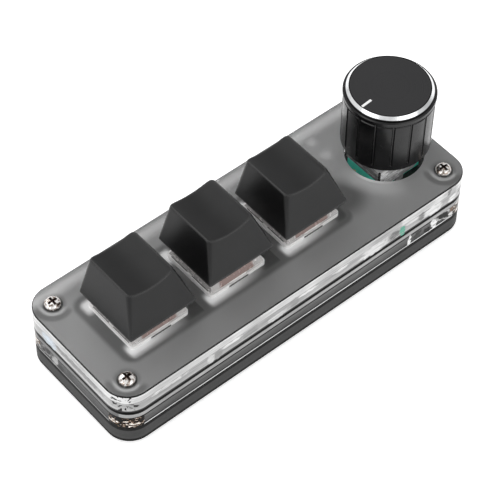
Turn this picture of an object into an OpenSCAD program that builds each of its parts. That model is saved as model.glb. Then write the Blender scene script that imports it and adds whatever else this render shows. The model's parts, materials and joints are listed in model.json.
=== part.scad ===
// Programmable keypad: a row of three mechanical keys and a push-and-turn knob.
// They stand on a screwed stack of a black base, a clear frame and a frosted clear plate.
// X runs along the key row towards the knob, Y away from the user, and Z up.
// The origin is on the desk, under the middle of the stack.

/* [Stack] */
// Width of the stack from front to back
body_w = 36.3; // [35:0.1:40]
// Radius of the upright corners
corner_r = 6; // [4:0.5:6.5]
// Thickness of the black base
base_t = 5.1; // [4.9:0.1:8]
// Thickness of the clear middle frame
mid_t = 5.6; // [5.3:0.1:8]
// Thickness of the frosted top plate
top_t = 6; // [5.7:0.1:6.3]
// Bevel on the edges of the clear layers
edge_bevel = 0.15; // [0.1:0.05:0.4]
// Bevel on the base's lower edge
base_bevel = 0.5; // [0.2:0.1:0.8]
// Wall around the inside of the base and the frame
wall = 5; // [4:0.1:5.5]
// Floor of the base
floor_t = 1.6; // [1.4:0.1:1.8]

/* [Row] */
// From the stack's left end to the first key
left_margin = 18.5; // [16:0.5:24]
// Spacing of the keys
key_pitch = 22; // [19.1:0.1:26]
// From the last key to the knob
knob_gap = 29; // [24:0.5:34]
// From the knob to the stack's right end
right_margin = 11.5; // [11:0.5:16]

/* [Fasteners and feet] */
// Inset of the screws from both edges
screw_inset = 5; // [4.8:0.1:5.6]
// Diameter of the screw thread
screw_d = 2; // [1.8:0.1:2.2]
// Diameter of the screw head
head_d = 3.9; // [3.7:0.1:4.6]
// Height of the screw head
head_h = 1.3; // [1.1:0.1:1.8]
// Length of thread in the insert
screw_bite = 2.4; // [1.5:0.1:2.6]
// Length of the brass insert
insert_len = 2.9; // [2.7:0.1:3.1]
// Outer diameter of the brass insert
insert_d = 3.2; // [3:0.1:3.6]
// Diameter of a rubber foot
foot_d = 8; // [6:0.5:9]
// How far a foot stands out of the base
foot_proud = 1; // [0.6:0.1:2]
// Depth of a foot's recess
foot_recess = 0.5; // [0.3:0.1:0.7]
// Inset of the feet from the ends and sides
foot_inset = 8.5; // [7.5:0.5:10]

/* [Circuit board] */
// Thickness of the board
pcb_t = 1.6; // [1.4:0.1:1.7]
// Inset of the board from the stack's outline
pcb_inset = 2.5; // [2.3:0.1:2.9]
// Side of the controller chip
chip_side = 5; // [4:0.5:7]
// Width of the socket for the data plug
usb_w = 8.94; // [8.9:0.02:9]
// Height of the socket for the data plug
usb_h = 3.26; // [3.2:0.02:3.3]
// Depth of the socket for the data plug
usb_d = 7.3; // [7:0.1:7.6]
// Place of the data socket along the back, from the second key
usb_x = 11; // [-4:0.5:14]

/* [Switches] */
// Side of the square hole that takes a switch
sw_hole = 14; // [14:0.05:14.1]
// Depth of a switch below the plate's top, down to the board
sw_seat = 5; // [4.9:0.05:5.1]
// Side of a switch's flange
sw_flange = 15.9; // [15.6:0.1:16.2]
// Thickness of the flange
sw_flange_t = 1; // [0.8:0.05:1.05]
// Height of the upper housing above the plate
sw_top_h = 6.6; // [6.5:0.1:6.8]
// Travel of a key
travel = 4; // [3:0.1:4]
// Diameter of the locating post
post_d = 4; // [3.8:0.1:4]
// Diameter of the spring wire
wire_d = 0.3; // [0.24:0.02:0.36]
// Turns of a key's spring
spring_turns = 10; // [8:1:11]

/* [Keycaps] */
// Side of a cap at its rim
cap_base = 18.2; // [17.8:0.05:18.4]
// Width of a cap's top
cap_top_w = 12.5; // [12:0.05:13]
// Depth of a cap's top
cap_top_d = 13.9; // [13.2:0.1:14.2]
// How far the top lies behind the rim
cap_skew = 1.87; // [1.4:0.1:1.9]
// Height of a cap
cap_h = 9.35; // [9:0.05:10.5]
// Height of the rim above the plate
cap_rim = 5.17; // [5.17:0.05:5.8]
// Extra height of the second cap, which isn't pressed right down
cap_lift = 1.07; // [0:0.05:1.5]
// Depth of the hollow in a cap's top
dish = 1; // [0.5:0.1:1.2]
// Thickness of a cap's walls
cap_wall = 1.3; // [1.1:0.05:1.4]

/* [Knob] */
// Diameter of the knob at its lower rim
knob_d = 21.1; // [20:0.1:22]
// Height of the knob
knob_h = 17.1; // [16.5:0.1:20]
// Height of the knob above the plate
knob_rise = 4.85; // [4.5:0.05:6]
// Number of grip grooves
groove_count = 16; // [12:1:24]
// Width of a grip groove
groove_w = 0.7; // [0.4:0.05:0.9]
// Angle of the pointer line about the knob
pointer_angle = -176; // [-180:1:180]
// Diameter of the hole around the encoder
encoder_hole_d = 19; // [18.6:0.1:19.4]

/* [Encoder] */
// Length of the encoder body along the row
enc_l = 13.2; // [12.8:0.1:13.4]
// Width of the encoder body across the row
enc_w = 11.6; // [11.2:0.1:12]
// Height of the encoder body with its metal cover
enc_h = 6.8; // [6.6:0.1:7.2]
// Diameter of the shaft
shaft_d = 6; // [5.8:0.1:6]
// Height of the shaft above the cover
shaft_rise = 15; // [14.8:0.1:15.2]
// Diameter of the bushing
bush_d = 7; // [6.9:0.1:7.2]
// Height of the bushing above the cover
bush_rise = 5.2; // [4.5:0.1:5.3]
// Travel of the knob when pushed
push = 0.5; // [0.3:0.1:0.5]

/* [Hidden] */
$fn = 64;

// Small overlap for cuts that run past a face
eps = 0.1;
// Running gap at the shaft, the rods and the rotor
run_gap = 0.05;
// Gap around pieces that drop into a pocket or a slot
slot_gap = 0.15;
// Radial gap around the screws
screw_gap = 0.1;
// Radial gap between a screw and its insert
thread_gap = 0.02;

body_l = left_margin + 2 * key_pitch + knob_gap + right_margin;
key_x = [for (i = [0:2]) left_margin - body_l / 2 + i * key_pitch];
knob_x = key_x[2] + knob_gap;
screw_x = body_l / 2 - screw_inset;
screw_y = body_w / 2 - screw_inset;
foot_x = body_l / 2 - foot_inset;
foot_y = body_w / 2 - foot_inset;
usb_cx = key_x[1] + usb_x;

// Levels of the stack above the desk
z_base = foot_proud;
z_mid = z_base + base_t;
z_top = z_mid + mid_t;
z_plate = z_top + top_t;
z_pcb = z_plate - sw_seat;
z_pcb_low = z_pcb - pcb_t;

pcb_l = body_l - 2 * pcb_inset;
pcb_w = body_w - 2 * pcb_inset;
pcb_r = corner_r - pcb_inset;
boss_r = 3.2;
screw_r = screw_d / 2;
screw_len = top_t + mid_t + screw_bite;

// Data socket, chip and contact sockets
usb_wall = 0.3;
usb_back = 0.8;
chip_t = 0.85;
socket_t = 1.8;

// Switch: heights count from the plate's top, and plan places from the switch's middle
sw_body = sw_hole - 2 * run_gap;
sw_wall = 0.75;
sw_cavity = sw_body - 2 * sw_wall;
sw_floor_t = 1.2;
sw_floor = sw_floor_t - sw_seat;
post_h = 3.3;
post_low = -sw_seat - post_h;
post_end_t = 0.9;
rod_r = 0.9;
rod_rest = 0.3;
rod_hole_low = post_low + post_end_t;
rod_low = rod_hole_low + rod_rest + travel;
pin_r = 0.6;
pin_hole_r = pin_r + run_gap;
pin_a = [-3.81, 2.54];
pin_b = [2.54, 5.08];
led_size = [3.5, 2.8, 1.9];
led_y = -4.9;
led_proud = 0.4;

// Upper housing
hood_step = 0.5;
hood_base = sw_flange - 2 * hood_step;
hood_top = [11, 9.6];
hood_wall = 1.1;
hood_roof = 1.2;
hood_in_h = sw_top_h - sw_flange_t - hood_roof;
stem_size = [7.2, 5.6];
stem_hole_gap = 0.25;
stem_rest = 0.7;
stem_low = sw_floor + stem_rest + travel;
stem_wall = 0.8;
stem_roof = 1.2;
cross_l = 4;
cross_w = [1.17, 1.3];
cross_h = 3.6;

// Key's spring, as rings of points along its wire
spring_r = 1.5;
spring_end_gap = 0.02;
spring_low = sw_floor + wire_d / 2 + spring_end_gap;
spring_high = sw_top_h - stem_roof - wire_d / 2 - spring_end_gap;
coil_rings = 8;
coil_sides = 6;
spring_points = coil_points(
    spring_r, wire_d / 2, spring_low, spring_high, spring_turns, coil_rings, coil_sides
);
// Least gap between two neighbouring turns, point against point one turn on
spring_gap = min([
    for (k = [0:len(spring_points) - 1 - coil_rings * coil_sides])
        norm(spring_points[k + coil_rings * coil_sides] - spring_points[k])
]) - wire_d;
echo(spring_gap = spring_gap);

// Keycap: heights count from its rim
cap_boss_r = 2.65;
cap_boss_gap = 0.1;
cap_boss_low = sw_top_h + cap_boss_gap - cap_rim;
cap_ceiling = cap_h - dish - cap_wall;
cap_fit = 0.035;
dish_r = (pow(cap_top_w / 2, 2) + dish * dish) / (2 * dish);

// Encoder levels above the desk
enc_top = z_pcb + enc_h;
cover_t = 0.6;
bush_flange_t = 0.5;
enc_floor_t = 1.3;
enc_floor = z_pcb + enc_floor_t;
enc_well_r = 2.9;
enc_well_floor = 0.2;
enc_well_low = z_pcb + enc_well_floor;
enc_cavity_r = 5.2;
dome_rise = 0.4;
plunger_low = enc_well_low + dome_rise + run_gap + push;
rotor_r = 4.8;
rotor_lift = 2.9;
rotor_low = z_pcb + rotor_lift;
rotor_t = 1.8;
shaft_r = shaft_d / 2;
shaft_lift = 2.5;
shaft_low = z_pcb + shaft_lift;
shaft_key_r = 2.5;
shaft_key_w = 4;
shoulder_drop = 1;
shaft_shoulder = enc_top - shoulder_drop;
shaft_top = enc_top + shaft_rise;
bush_r = bush_d / 2;
bush_flange_r = 4.8;
enc_pin_x = 7.3;
enc_pin_pitch = 2.5;
enc_pin_w = 0.8;
enc_pin_out = 1.2;
enc_pin_step = 0.9;
enc_tab_w = 2.1;
enc_tab_y = enc_w / 2 - cover_t / 2;

// Knob: heights count from its lower rim
z_knob = z_plate + knob_rise;
knob_r = knob_d / 2;
skirt_flare = 0.05;
skirt_top_r = knob_r + skirt_flare;
neck_depth = 0.2;
neck_r = knob_r - neck_depth;
neck_h = 0.4;
collar_lip = 0.2;
collar_r = knob_r + collar_lip;
collar_h = 1.2;
ring_t = 1.1;
ring_low = knob_h - ring_t;
ring_flat = 0.2;
ring_step = 0.35;
ring_bevel = 0.8;
knob_ring_r = knob_r - ring_step;
knob_face_r = knob_ring_r - ring_bevel;
skirt_h = ring_low - collar_h - neck_h;
spigot_step = 1.25;
spigot_r = knob_ring_r - spigot_step;
spigot_h = 0.6;
knob_wall = 1.6;
hub_r = 4.6;
hub_gap = 0.4;
shaft_end_gap = 0.2;
hub_low = enc_top + bush_rise + push + hub_gap - z_knob;
hub_roof = 1.6;
flat_depth = 1.5;
pointer_end = 0.15;
pointer_l = 3;
pointer_out = knob_face_r - pointer_end;
pointer_in = pointer_out - pointer_l;
pointer_w = 0.65;
pointer_t = 0.3;

// Rings of a coil's wire, each in the upright plane through the coil's axis
function coil_points(r, wire, low, high, turns, rings, sides) = [
    for (k = [0:turns * rings], j = [0:sides - 1])
        let (a = 360 * k / rings, b = 360 * j / sides, q = r + wire * cos(b))
            [q * cos(a), q * sin(a), low + (high - low) * k / (turns * rings) + wire * sin(b)]
];

// Faces of a tube through those rings, with a flat face at each end
function coil_faces(count, sides) = concat(
    [[for (j = [0:sides - 1]) j]],
    [for (k = [0:count - 1], j = [0:sides - 1])
        let (a = k * sides + j, b = k * sides + (j + 1) % sides)
            [a, a + sides, b + sides, b]],
    [[for (j = [sides - 1:-1:0]) count * sides + j]]
);

// Quarter of a round corner, as the profile of a bevelled slab turned through 90 degrees
module slab_corner(r, t, low, high) {
    rotate_extrude(angle = 90)
        polygon([[0, 0], [r - low, 0], [r, low], [r, t - high], [r - high, t], [0, t]]);
}

// Bar with a bevelled slab's profile, along X
module slab_bar(l, w, t, low, high) {
    h = w / 2;
    translate([-l / 2, 0, 0])
        rotate([90, 0, 90])
            linear_extrude(l)
                polygon([
                    [low - h, 0], [h - low, 0], [h, low], [h, t - high],
                    [h - high, t], [high - h, t], [-h, t - high], [-h, low]
                ]);
}

// Slab with round corners and bevelled lower and upper edges
module slab(l, w, r, t, low = 0, high = 0) {
    for (i = [0:3])
        translate([(i == 0 || i == 3 ? 1 : -1) * (l / 2 - r), (i < 2 ? 1 : -1) * (w / 2 - r), 0])
            rotate([0, 0, 90 * i])
                slab_corner(r, t, low, high);
    slab_bar(l - 2 * r, w, t, low, high);
    for (s = [-1, 1])
        translate([s * (l / 2 - r), 0, 0])
            rotate([0, 0, s * 90 - 90])
                slab_end(r, w - 2 * r, t, low, high);
}

// End bar of a slab between two corners, running out along X
module slab_end(r, w, t, low, high) {
    rotate([90, 0, 0])
        translate([0, 0, -w / 2])
            linear_extrude(w)
                polygon([[0, 0], [r - low, 0], [r, low], [r, t - high], [r - high, t], [0, t]]);
}

module at_screws() {
    for (x = [-screw_x, screw_x], y = [-screw_y, screw_y])
        translate([x, y, 0])
            children();
}

module at_feet() {
    for (x = [-foot_x, foot_x], y = [-foot_y, foot_y])
        translate([x, y, 0])
            children();
}

module at_keys() {
    for (x = key_x)
        translate([x, 0, 0])
            children();
}

// Box with its lower face centred on the origin
module block(x, y, z) {
    translate([-x / 2, -y / 2, 0])
        cube([x, y, z]);
}

// Solid with four sloping sides, from a lower rectangle to an upper one
module hopper(low, high, h) {
    reach = max(low[0], high[0], low[1], high[1]);
    intersection() {
        translate([0, reach, 0])
            rotate([90, 0, 0])
                linear_extrude(2 * reach)
                    polygon([[-low[0] / 2, 0], [low[0] / 2, 0], [high[0] / 2, h], [-high[0] / 2, h]]);
        translate([-reach, 0, 0])
            rotate([90, 0, 90])
                linear_extrude(2 * reach)
                    polygon([[-low[1] / 2, 0], [low[1] / 2, 0], [high[1] / 2, h], [-high[1] / 2, h]]);
    }
}

// Inside of the base and the frame: the bay less the corner bosses
module bay(z, h) {
    difference() {
        translate([0, 0, z])
            block(body_l - 2 * wall, body_w - 2 * wall, h);
        at_screws()
            translate([0, 0, z - eps])
                cylinder(r = boss_r, h = h + 2 * eps);
    }
}

module top_plate() {
    color([0.6, 0.62, 0.64, 0.6])
        difference() {
            translate([0, 0, z_top])
                slab(body_l, body_w, corner_r, top_t, edge_bevel, edge_bevel);
            translate([0, 0, z_top - eps])
                slab(pcb_l + 2 * slot_gap, pcb_w + 2 * slot_gap, pcb_r, z_pcb - z_top + eps);
            at_keys()
                translate([0, 0, z_top])
                    block(sw_hole, sw_hole, top_t + eps);
            translate([knob_x, 0, z_top])
                cylinder(d = encoder_hole_d, h = top_t + eps);
            at_screws()
                translate([0, 0, z_top])
                    cylinder(r = screw_r + screw_gap, h = top_t + eps);
        }
}

module mid_frame() {
    color([0.75, 0.8, 0.82, 0.5])
        difference() {
            translate([0, 0, z_mid])
                slab(body_l, body_w, corner_r, mid_t, edge_bevel, edge_bevel);
            bay(z_mid - eps, mid_t + 2 * eps);
            translate([0, 0, z_pcb_low])
                slab(pcb_l + 2 * slot_gap, pcb_w + 2 * slot_gap, pcb_r, z_top - z_pcb_low + eps);
            translate([usb_cx, body_w / 2 - wall / 2, z_pcb_low - usb_h - slot_gap])
                block(usb_w + 2 * slot_gap, wall + 2 * eps, usb_h + slot_gap + mid_t);
            translate([knob_x, 0, z_pcb_low - enc_pin_out - slot_gap])
                encoder_pin_relief();
            at_screws()
                translate([0, 0, z_mid - eps])
                    cylinder(r = screw_r + screw_gap, h = mid_t + 2 * eps);
        }
}

// Room under the board for the encoder's outer pins, open towards the bay
module encoder_pin_relief() {
    side = 2 * (enc_pin_pitch + enc_pin_w);
    bay_end = body_l / 2 - wall - knob_x;
    relief_end = enc_pin_x + enc_pin_w;
    translate([(bay_end + relief_end) / 2 - eps / 2, 0, 0])
        block(relief_end - bay_end + eps, side, enc_pin_out + slot_gap + eps);
}

module base_shell() {
    color([0.12, 0.12, 0.13])
        difference() {
            translate([0, 0, z_base])
                slab(body_l, body_w, corner_r, base_t, base_bevel, edge_bevel / 2);
            bay(z_base + floor_t, base_t);
            at_screws()
                translate([0, 0, z_mid - insert_len])
                    cylinder(d = insert_d, h = insert_len + eps);
            at_feet()
                translate([0, 0, z_base - eps])
                    cylinder(d = foot_d + 2 * slot_gap, h = foot_recess + eps);
        }
}

// Domed pan head with a cross recess, and its thread as a plain shank
module screw() {
    recess_w = 0.6;
    recess_l = 2.4;
    dome = [[1, 0], [1, 0.25], [0.92, 0.55], [0.72, 0.82], [0.42, 0.96], [0, 1]];
    difference() {
        union() {
            rotate_extrude()
                polygon([[0, 0], for (p = dome) [p[0] * head_d / 2, p[1] * head_h]]);
            translate([0, 0, -screw_len])
                cylinder(r = screw_r, h = screw_len + eps);
        }
        for (a = [0, 90])
            rotate([0, 0, a])
                translate([0, 0, head_h * 0.35])
                    block(recess_l, recess_w, head_h);
    }
}

module case_screws() {
    color("silver")
        at_screws()
            translate([0, 0, z_plate])
                screw();
}

module threaded_inserts() {
    color([0.8, 0.65, 0.3])
        at_screws()
            translate([0, 0, z_mid - insert_len])
                difference() {
                    union() {
                        cylinder(d = insert_d, h = insert_len * 0.4);
                        cylinder(d = insert_d - 0.3, h = insert_len);
                        translate([0, 0, insert_len * 0.6])
                            cylinder(d = insert_d, h = insert_len * 0.4);
                    }
                    translate([0, 0, -eps])
                        cylinder(r = screw_r + thread_gap, h = insert_len + 2 * eps);
                }
}

module rubber_feet() {
    foot_t = foot_proud + foot_recess;
    foot_r = foot_d / 2;
    edge = 0.3;
    color([0.08, 0.08, 0.08])
        at_feet()
            rotate_extrude()
                polygon([[0, 0], [foot_r - edge, 0], [foot_r, edge], [foot_r, foot_t], [0, foot_t]]);
}

module pcb() {
    color([0.05, 0.06, 0.06])
        difference() {
            translate([0, 0, z_pcb_low])
                slab(pcb_l, pcb_w, pcb_r, pcb_t);
            at_screws()
                translate([0, 0, z_pcb_low - eps])
                    cylinder(r = screw_r + screw_gap, h = pcb_t + 2 * eps);
            at_keys()
                translate([0, 0, z_pcb_low - eps])
                    switch_holes();
            translate([knob_x, 0, z_pcb_low - eps])
                encoder_holes();
        }
}

// Holes for a switch's post, its two pins and the lamp below it
module switch_holes() {
    h = pcb_t + 2 * eps;
    cylinder(d = post_d + 2 * run_gap, h = h);
    for (p = [pin_a, pin_b])
        translate(p)
            cylinder(r = pin_r + slot_gap, h = h);
    translate([0, led_y, 0])
        block(led_size[0] + 2 * slot_gap, led_size[1] + 2 * slot_gap, h);
}

// Holes for the encoder's five pins and its two tabs
module encoder_holes() {
    h = pcb_t + 2 * eps;
    at_encoder_pins()
        cylinder(r = enc_pin_w / 2 + 2 * slot_gap, h = h);
    for (s = [-1, 1])
        translate([0, s * enc_tab_y, 0])
            block(enc_tab_w + 2 * slot_gap, cover_t + 2 * slot_gap, h);
}

// Three signal pins towards the keys and two push-switch pins on the far side
module at_encoder_pins() {
    for (k = [-1, 0, 1])
        translate([-enc_pin_x, k * enc_pin_pitch, 0])
            children();
    for (k = [-1, 1])
        translate([enc_pin_x, k * enc_pin_pitch, 0])
            children();
}

// Rounded bar along Y with the data socket's section
module usb_bar(w, h, d) {
    side_flat = 0.1;
    r = (h - side_flat) / 2;
    rotate([90, 0, 0])
        linear_extrude(d) {
            square([w - 2 * r, h], center = true);
            square([w, h - 2 * r], center = true);
            for (x = [-1, 1], y = [-1, 1])
                translate([x * (w / 2 - r), y * (h / 2 - r)])
                    circle(r = r);
        }
}

module at_usb() {
    translate([usb_cx, body_w / 2, z_pcb_low - usb_h / 2])
        children();
}

module usb_shell() {
    color("silver")
        at_usb()
            difference() {
                usb_bar(usb_w, usb_h, usb_d);
                translate([0, eps, 0])
                    usb_bar(usb_w - 2 * usb_wall, usb_h - 2 * usb_wall, usb_d - usb_back + eps);
            }
}

module usb_tongue() {
    tongue_w = 6.7;
    tongue_t = 0.7;
    tongue_in = 1.5;
    tongue_d = usb_d - usb_back - tongue_in;
    color([0.1, 0.1, 0.1])
        at_usb()
            translate([0, -usb_d + usb_back + tongue_d / 2, -tongue_t / 2])
                block(tongue_w, tongue_d, tongue_t);
}

module controller_chip() {
    color([0.1, 0.1, 0.11])
        translate([knob_x - knob_gap / 2, 0, z_pcb_low - chip_t])
            block(chip_side, chip_side, chip_t);
}

// Small parts soldered under the board: a row along the front, and a crystal by the controller
module smd_parts() {
    part = [2, 1.25, 0.8];
    part_count = 9;
    part_pitch = 7;
    part_inset = 6;
    part_y = part_inset - pcb_w / 2;
    crystal = [3.2, 2.5, 0.8];
    crystal_gap = 3;
    color([0.7, 0.65, 0.5]) {
        for (i = [0:part_count - 1])
            translate([(i - (part_count - 1) / 2) * part_pitch, part_y, z_pcb_low - part[2]])
                block(part[0], part[1], part[2]);
        translate([knob_x - knob_gap / 2, chip_side / 2 + crystal_gap, z_pcb_low - crystal[2]])
            block(crystal[0], crystal[1], crystal[2]);
    }
}

module rgb_leds() {
    color([0.95, 0.95, 0.9])
        at_keys()
            translate([0, led_y, z_pcb - led_size[2] + led_proud])
                block(led_size[0], led_size[1], led_size[2]);
}

// Contact sockets under the board that grip the switches' pins
module hotswap_sockets() {
    side = 4.4;
    pad = [2.2, 2.4, 1.1];
    bridge_w = side - 1;
    bridge_step = 0.6;
    bridge_at = (pin_a + pin_b) / 2 + [0, bridge_step];
    color([0.12, 0.12, 0.12])
        at_keys()
            translate([0, 0, z_pcb_low - socket_t])
                difference() {
                    union() {
                        for (p = [pin_a, pin_b])
                            translate(p)
                                block(side, side, socket_t);
                        translate(bridge_at)
                            block(side, bridge_w, socket_t);
                        translate([pin_a[0] - side / 2 - pad[0] / 2, pin_a[1], socket_t - pad[2]])
                            block(pad[0] + eps, pad[1], pad[2]);
                        translate([pin_b[0] + side / 2 + pad[0] / 2, pin_b[1], socket_t - pad[2]])
                            block(pad[0] + eps, pad[1], pad[2]);
                    }
                    for (p = [pin_a, pin_b])
                        translate([p[0], p[1], -eps])
                            cylinder(r = pin_hole_r, h = socket_t + 2 * eps);
                    translate([0, 0, -eps])
                        cylinder(d = post_d + 2 * slot_gap, h = socket_t + 2 * eps);
                }
}

module at_key(i) {
    translate([key_x[i], 0, z_plate])
        children();
}

// Lower housing: a box through the plate, a flange on it and a post into the board
module switch_base(i) {
    led_hole = [led_size[0] + 2 * slot_gap, led_size[1] + 2 * slot_gap];
    clip = [5, 0.6, 0.35];
    flange_corner = 0.9;
    color([0.93, 0.93, 0.93])
        at_key(i)
            difference() {
                union() {
                    translate([0, 0, -sw_seat])
                        block(sw_body, sw_body, sw_seat + eps);
                    slab(sw_flange, sw_flange, flange_corner, sw_flange_t);
                    translate([0, 0, post_low])
                        cylinder(d = post_d, h = sw_floor - post_low - eps);
                }
                translate([0, 0, sw_floor])
                    block(sw_cavity, sw_cavity, sw_seat + sw_flange_t);
                translate([0, 0, rod_hole_low])
                    cylinder(r = rod_r + run_gap, h = sw_seat);
                for (p = [pin_a, pin_b])
                    translate([p[0], p[1], -sw_seat - eps])
                        cylinder(r = pin_hole_r, h = sw_seat);
                translate([0, led_y, -sw_seat - eps])
                    block(led_hole[0], led_hole[1], sw_seat);
                for (s = [-1, 1])
                    translate([0, s * (sw_flange / 2 - clip[1] / 2 + eps / 2), sw_flange_t - clip[2]])
                        block(clip[0], clip[1] + eps, clip[2] + eps);
            }
}

// Upper housing: a hollow hood with the stem's opening and a latch at the front and the back
module switch_top(i) {
    inner_k = hood_in_h / (sw_top_h - sw_flange_t);
    inner_low = sw_cavity;
    inner_high = [for (k = [0, 1]) hood_base + (hood_top[k] - hood_base) * inner_k - 2 * hood_wall];
    color([0.9, 0.85, 0.84, 0.7])
        at_key(i)
            translate([0, 0, sw_flange_t])
                difference() {
                    hopper([hood_base, hood_base], hood_top, sw_top_h - sw_flange_t);
                    hopper([inner_low, inner_low], inner_high, hood_in_h);
                    block(stem_size[0] + 2 * stem_hole_gap, stem_size[1] + 2 * stem_hole_gap, sw_top_h);
                }
}

// Stem: a hollow slider with a rod that runs in the post, and a cross that the cap grips
module switch_stem(i) {
    ledge_out = 0.7;
    ledge = [stem_size[0] + 2 * ledge_out, stem_size[1], stem_roof];
    ledge_gap = 0.2;
    cam = [1.6, 0.5, 1.6];
    color([0.75, 0.2, 0.16])
        at_key(i) {
            difference() {
                union() {
                    translate([0, 0, stem_low])
                        block(stem_size[0], stem_size[1], sw_top_h - stem_low);
                    translate([0, 0, sw_flange_t + hood_in_h - ledge_gap - ledge[2]])
                        block(ledge[0], ledge[1], ledge[2]);
                    translate([pin_b[0] - 1, stem_size[1] / 2 + cam[1] / 2 - eps, stem_low + 0.5])
                        block(cam[0], cam[1] + eps, cam[2]);
                }
                translate([0, 0, stem_low - eps])
                    block(stem_size[0] - 2 * stem_wall, stem_size[1] - 2 * stem_wall,
                          sw_top_h - stem_roof - stem_low + eps);
            }
            translate([0, 0, rod_low])
                cylinder(r = rod_r, h = sw_top_h - stem_roof / 2 - rod_low);
            translate([0, 0, sw_top_h - eps]) {
                block(cross_l, cross_w[0], cross_h + eps);
                block(cross_w[1], cross_l, cross_h + eps);
            }
        }
}

module switch_spring(i) {
    color([0.8, 0.75, 0.6])
        at_key(i)
            polyhedron(spring_points, coil_faces(spring_turns * coil_rings, coil_sides));
}

// Pins through the floor, each with a foot inside and a leaf that stands up from it
module switch_contacts(i) {
    foot_t = 0.3;
    leaf = [2.2, 0.3, 3.4];
    leaf_gap = [1.1, 0.6];
    leaf_y = [stem_size[1] / 2 + leaf_gap[0], sw_cavity / 2 - leaf_gap[1]];
    color([0.85, 0.6, 0.35])
        at_key(i)
            for (k = [0, 1]) {
                p = [pin_a, pin_b][k];
                translate([p[0], p[1], post_low])
                    cylinder(r = pin_r, h = sw_floor + foot_t - post_low);
                translate([p[0], (p[1] + leaf_y[k]) / 2, sw_floor])
                    block(leaf[0], abs(leaf_y[k] - p[1]) + leaf[1], foot_t);
                translate([p[0], leaf_y[k], sw_floor])
                    block(leaf[0], leaf[1], leaf[2]);
            }
}

// Four thin discs at the corners of a rectangle, for the hull of a cap
module cap_slice(w, d, r, shift, z) {
    for (x = [-1, 1], y = [-1, 1])
        translate([x * (w / 2 - r), shift + y * (d / 2 - r), z])
            cylinder(r = r, h = 0.01, $fn = 32);
}

// Slice through a cap at height z, k mm inside its outer face
module cap_level(z, k, r) {
    s = z / cap_h;
    w = cap_base + (cap_top_w - cap_base) * s;
    d = cap_base + (cap_top_d - cap_base) * s;
    cap_slice(w - 2 * k, d - 2 * k, r, cap_skew * s, z);
}

// Keycap: a sloping shell with a soft upper edge, a dished top and a socket for the cross
module keycap(i) {
    lift = i == 1 ? cap_lift : 0;
    soft = 0.5;
    rim_corner = 0.5;
    top_corner = 1.1;
    color([0.16, 0.16, 0.17])
        at_key(i)
            translate([0, 0, cap_rim + lift])
                difference() {
                    union() {
                        difference() {
                            hull() {
                                cap_level(0, 0, rim_corner);
                                cap_level(cap_h - soft, 0, top_corner);
                                cap_level(cap_h - 0.01, soft / 2, top_corner - soft / 2);
                            }
                            hull() {
                                cap_level(-0.02, cap_wall, 0.6);
                                cap_level(cap_ceiling, cap_wall, 1);
                            }
                            translate([0, cap_base, cap_h - dish + dish_r])
                                rotate([90, 0, 0])
                                    cylinder(r = dish_r, h = 2 * cap_base, $fn = 128);
                        }
                        translate([0, 0, cap_boss_low])
                            cylinder(r = cap_boss_r, h = cap_ceiling - cap_boss_low + 0.3);
                    }
                    translate([0, 0, cap_boss_low - eps]) {
                        block(cross_l + 2 * cap_fit, cross_w[0] + 2 * cap_fit, cap_ceiling - cap_boss_low);
                        block(cross_w[1] + 2 * cap_fit, cross_l + 2 * cap_fit, cap_ceiling - cap_boss_low);
                    }
                }
}

// Encoder body: a moulded block with a round chamber, and a well for the push switch
module encoder_base() {
    color([0.1, 0.5, 0.4])
        translate([knob_x, 0, 0])
            difference() {
                translate([0, 0, z_pcb])
                    block(enc_l, enc_w - 2 * cover_t, enc_h - cover_t);
                translate([0, 0, enc_floor])
                    cylinder(r = enc_cavity_r, h = enc_h);
                translate([0, 0, enc_well_low])
                    cylinder(r = enc_well_r, h = enc_h);
            }
}

// Metal cover: a top plate, short lips at the ends, and full sides whose tabs go through the board
module encoder_cover() {
    lip = 2.6;
    lip_t = cover_t / 2;
    end_x = enc_l / 2 + lip_t;
    lip_low = enc_top - cover_t - lip;
    side_low = z_pcb + 1.2;
    tab_low = z_pcb_low - 1.4;
    tab_x = enc_tab_w / 2;
    slant_x = 2 * enc_tab_w;
    color([0.75, 0.76, 0.78])
        translate([knob_x, 0, 0])
            difference() {
                union() {
                    translate([0, 0, enc_top - cover_t])
                        block(2 * end_x, enc_w, cover_t);
                    for (s = [-1, 1]) {
                        translate([s * (end_x - lip_t / 2), 0, lip_low])
                            block(lip_t, enc_w, lip + eps);
                        translate([0, s * enc_tab_y + cover_t / 2, 0])
                            rotate([90, 0, 0])
                                linear_extrude(cover_t)
                                    polygon([
                                        [-end_x, enc_top - cover_t / 2], [end_x, enc_top - cover_t / 2],
                                        [end_x, lip_low], [slant_x, side_low],
                                        [tab_x, side_low], [tab_x, tab_low],
                                        [-tab_x, tab_low], [-tab_x, side_low],
                                        [-slant_x, side_low], [-end_x, lip_low]
                                    ]);
                    }
                }
                translate([0, 0, enc_top - cover_t - eps])
                    cylinder(r = bush_r + run_gap, h = cover_t + 2 * eps);
            }
}

module encoder_bushing() {
    lip = 0.3;
    color([0.8, 0.8, 0.82])
        translate([knob_x, 0, enc_top - cover_t])
            difference() {
                union() {
                    translate([0, 0, -bush_flange_t])
                        cylinder(r = bush_flange_r, h = bush_flange_t);
                    cylinder(r = bush_r, h = cover_t + bush_rise - lip);
                    translate([0, 0, cover_t + bush_rise - lip])
                        cylinder(r1 = bush_r, r2 = bush_r - lip, h = lip);
                }
                translate([0, 0, -bush_flange_t - eps])
                    cylinder(r = shaft_r + run_gap, h = bush_flange_t + cover_t + bush_rise + 2 * eps);
            }
}

// Section of the shaft's key: a round with two flats
module key_section(grow) {
    intersection() {
        circle(r = shaft_key_r + grow);
        square([2 * shaft_key_r + 1, shaft_key_w + 2 * grow], center = true);
    }
}

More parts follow.
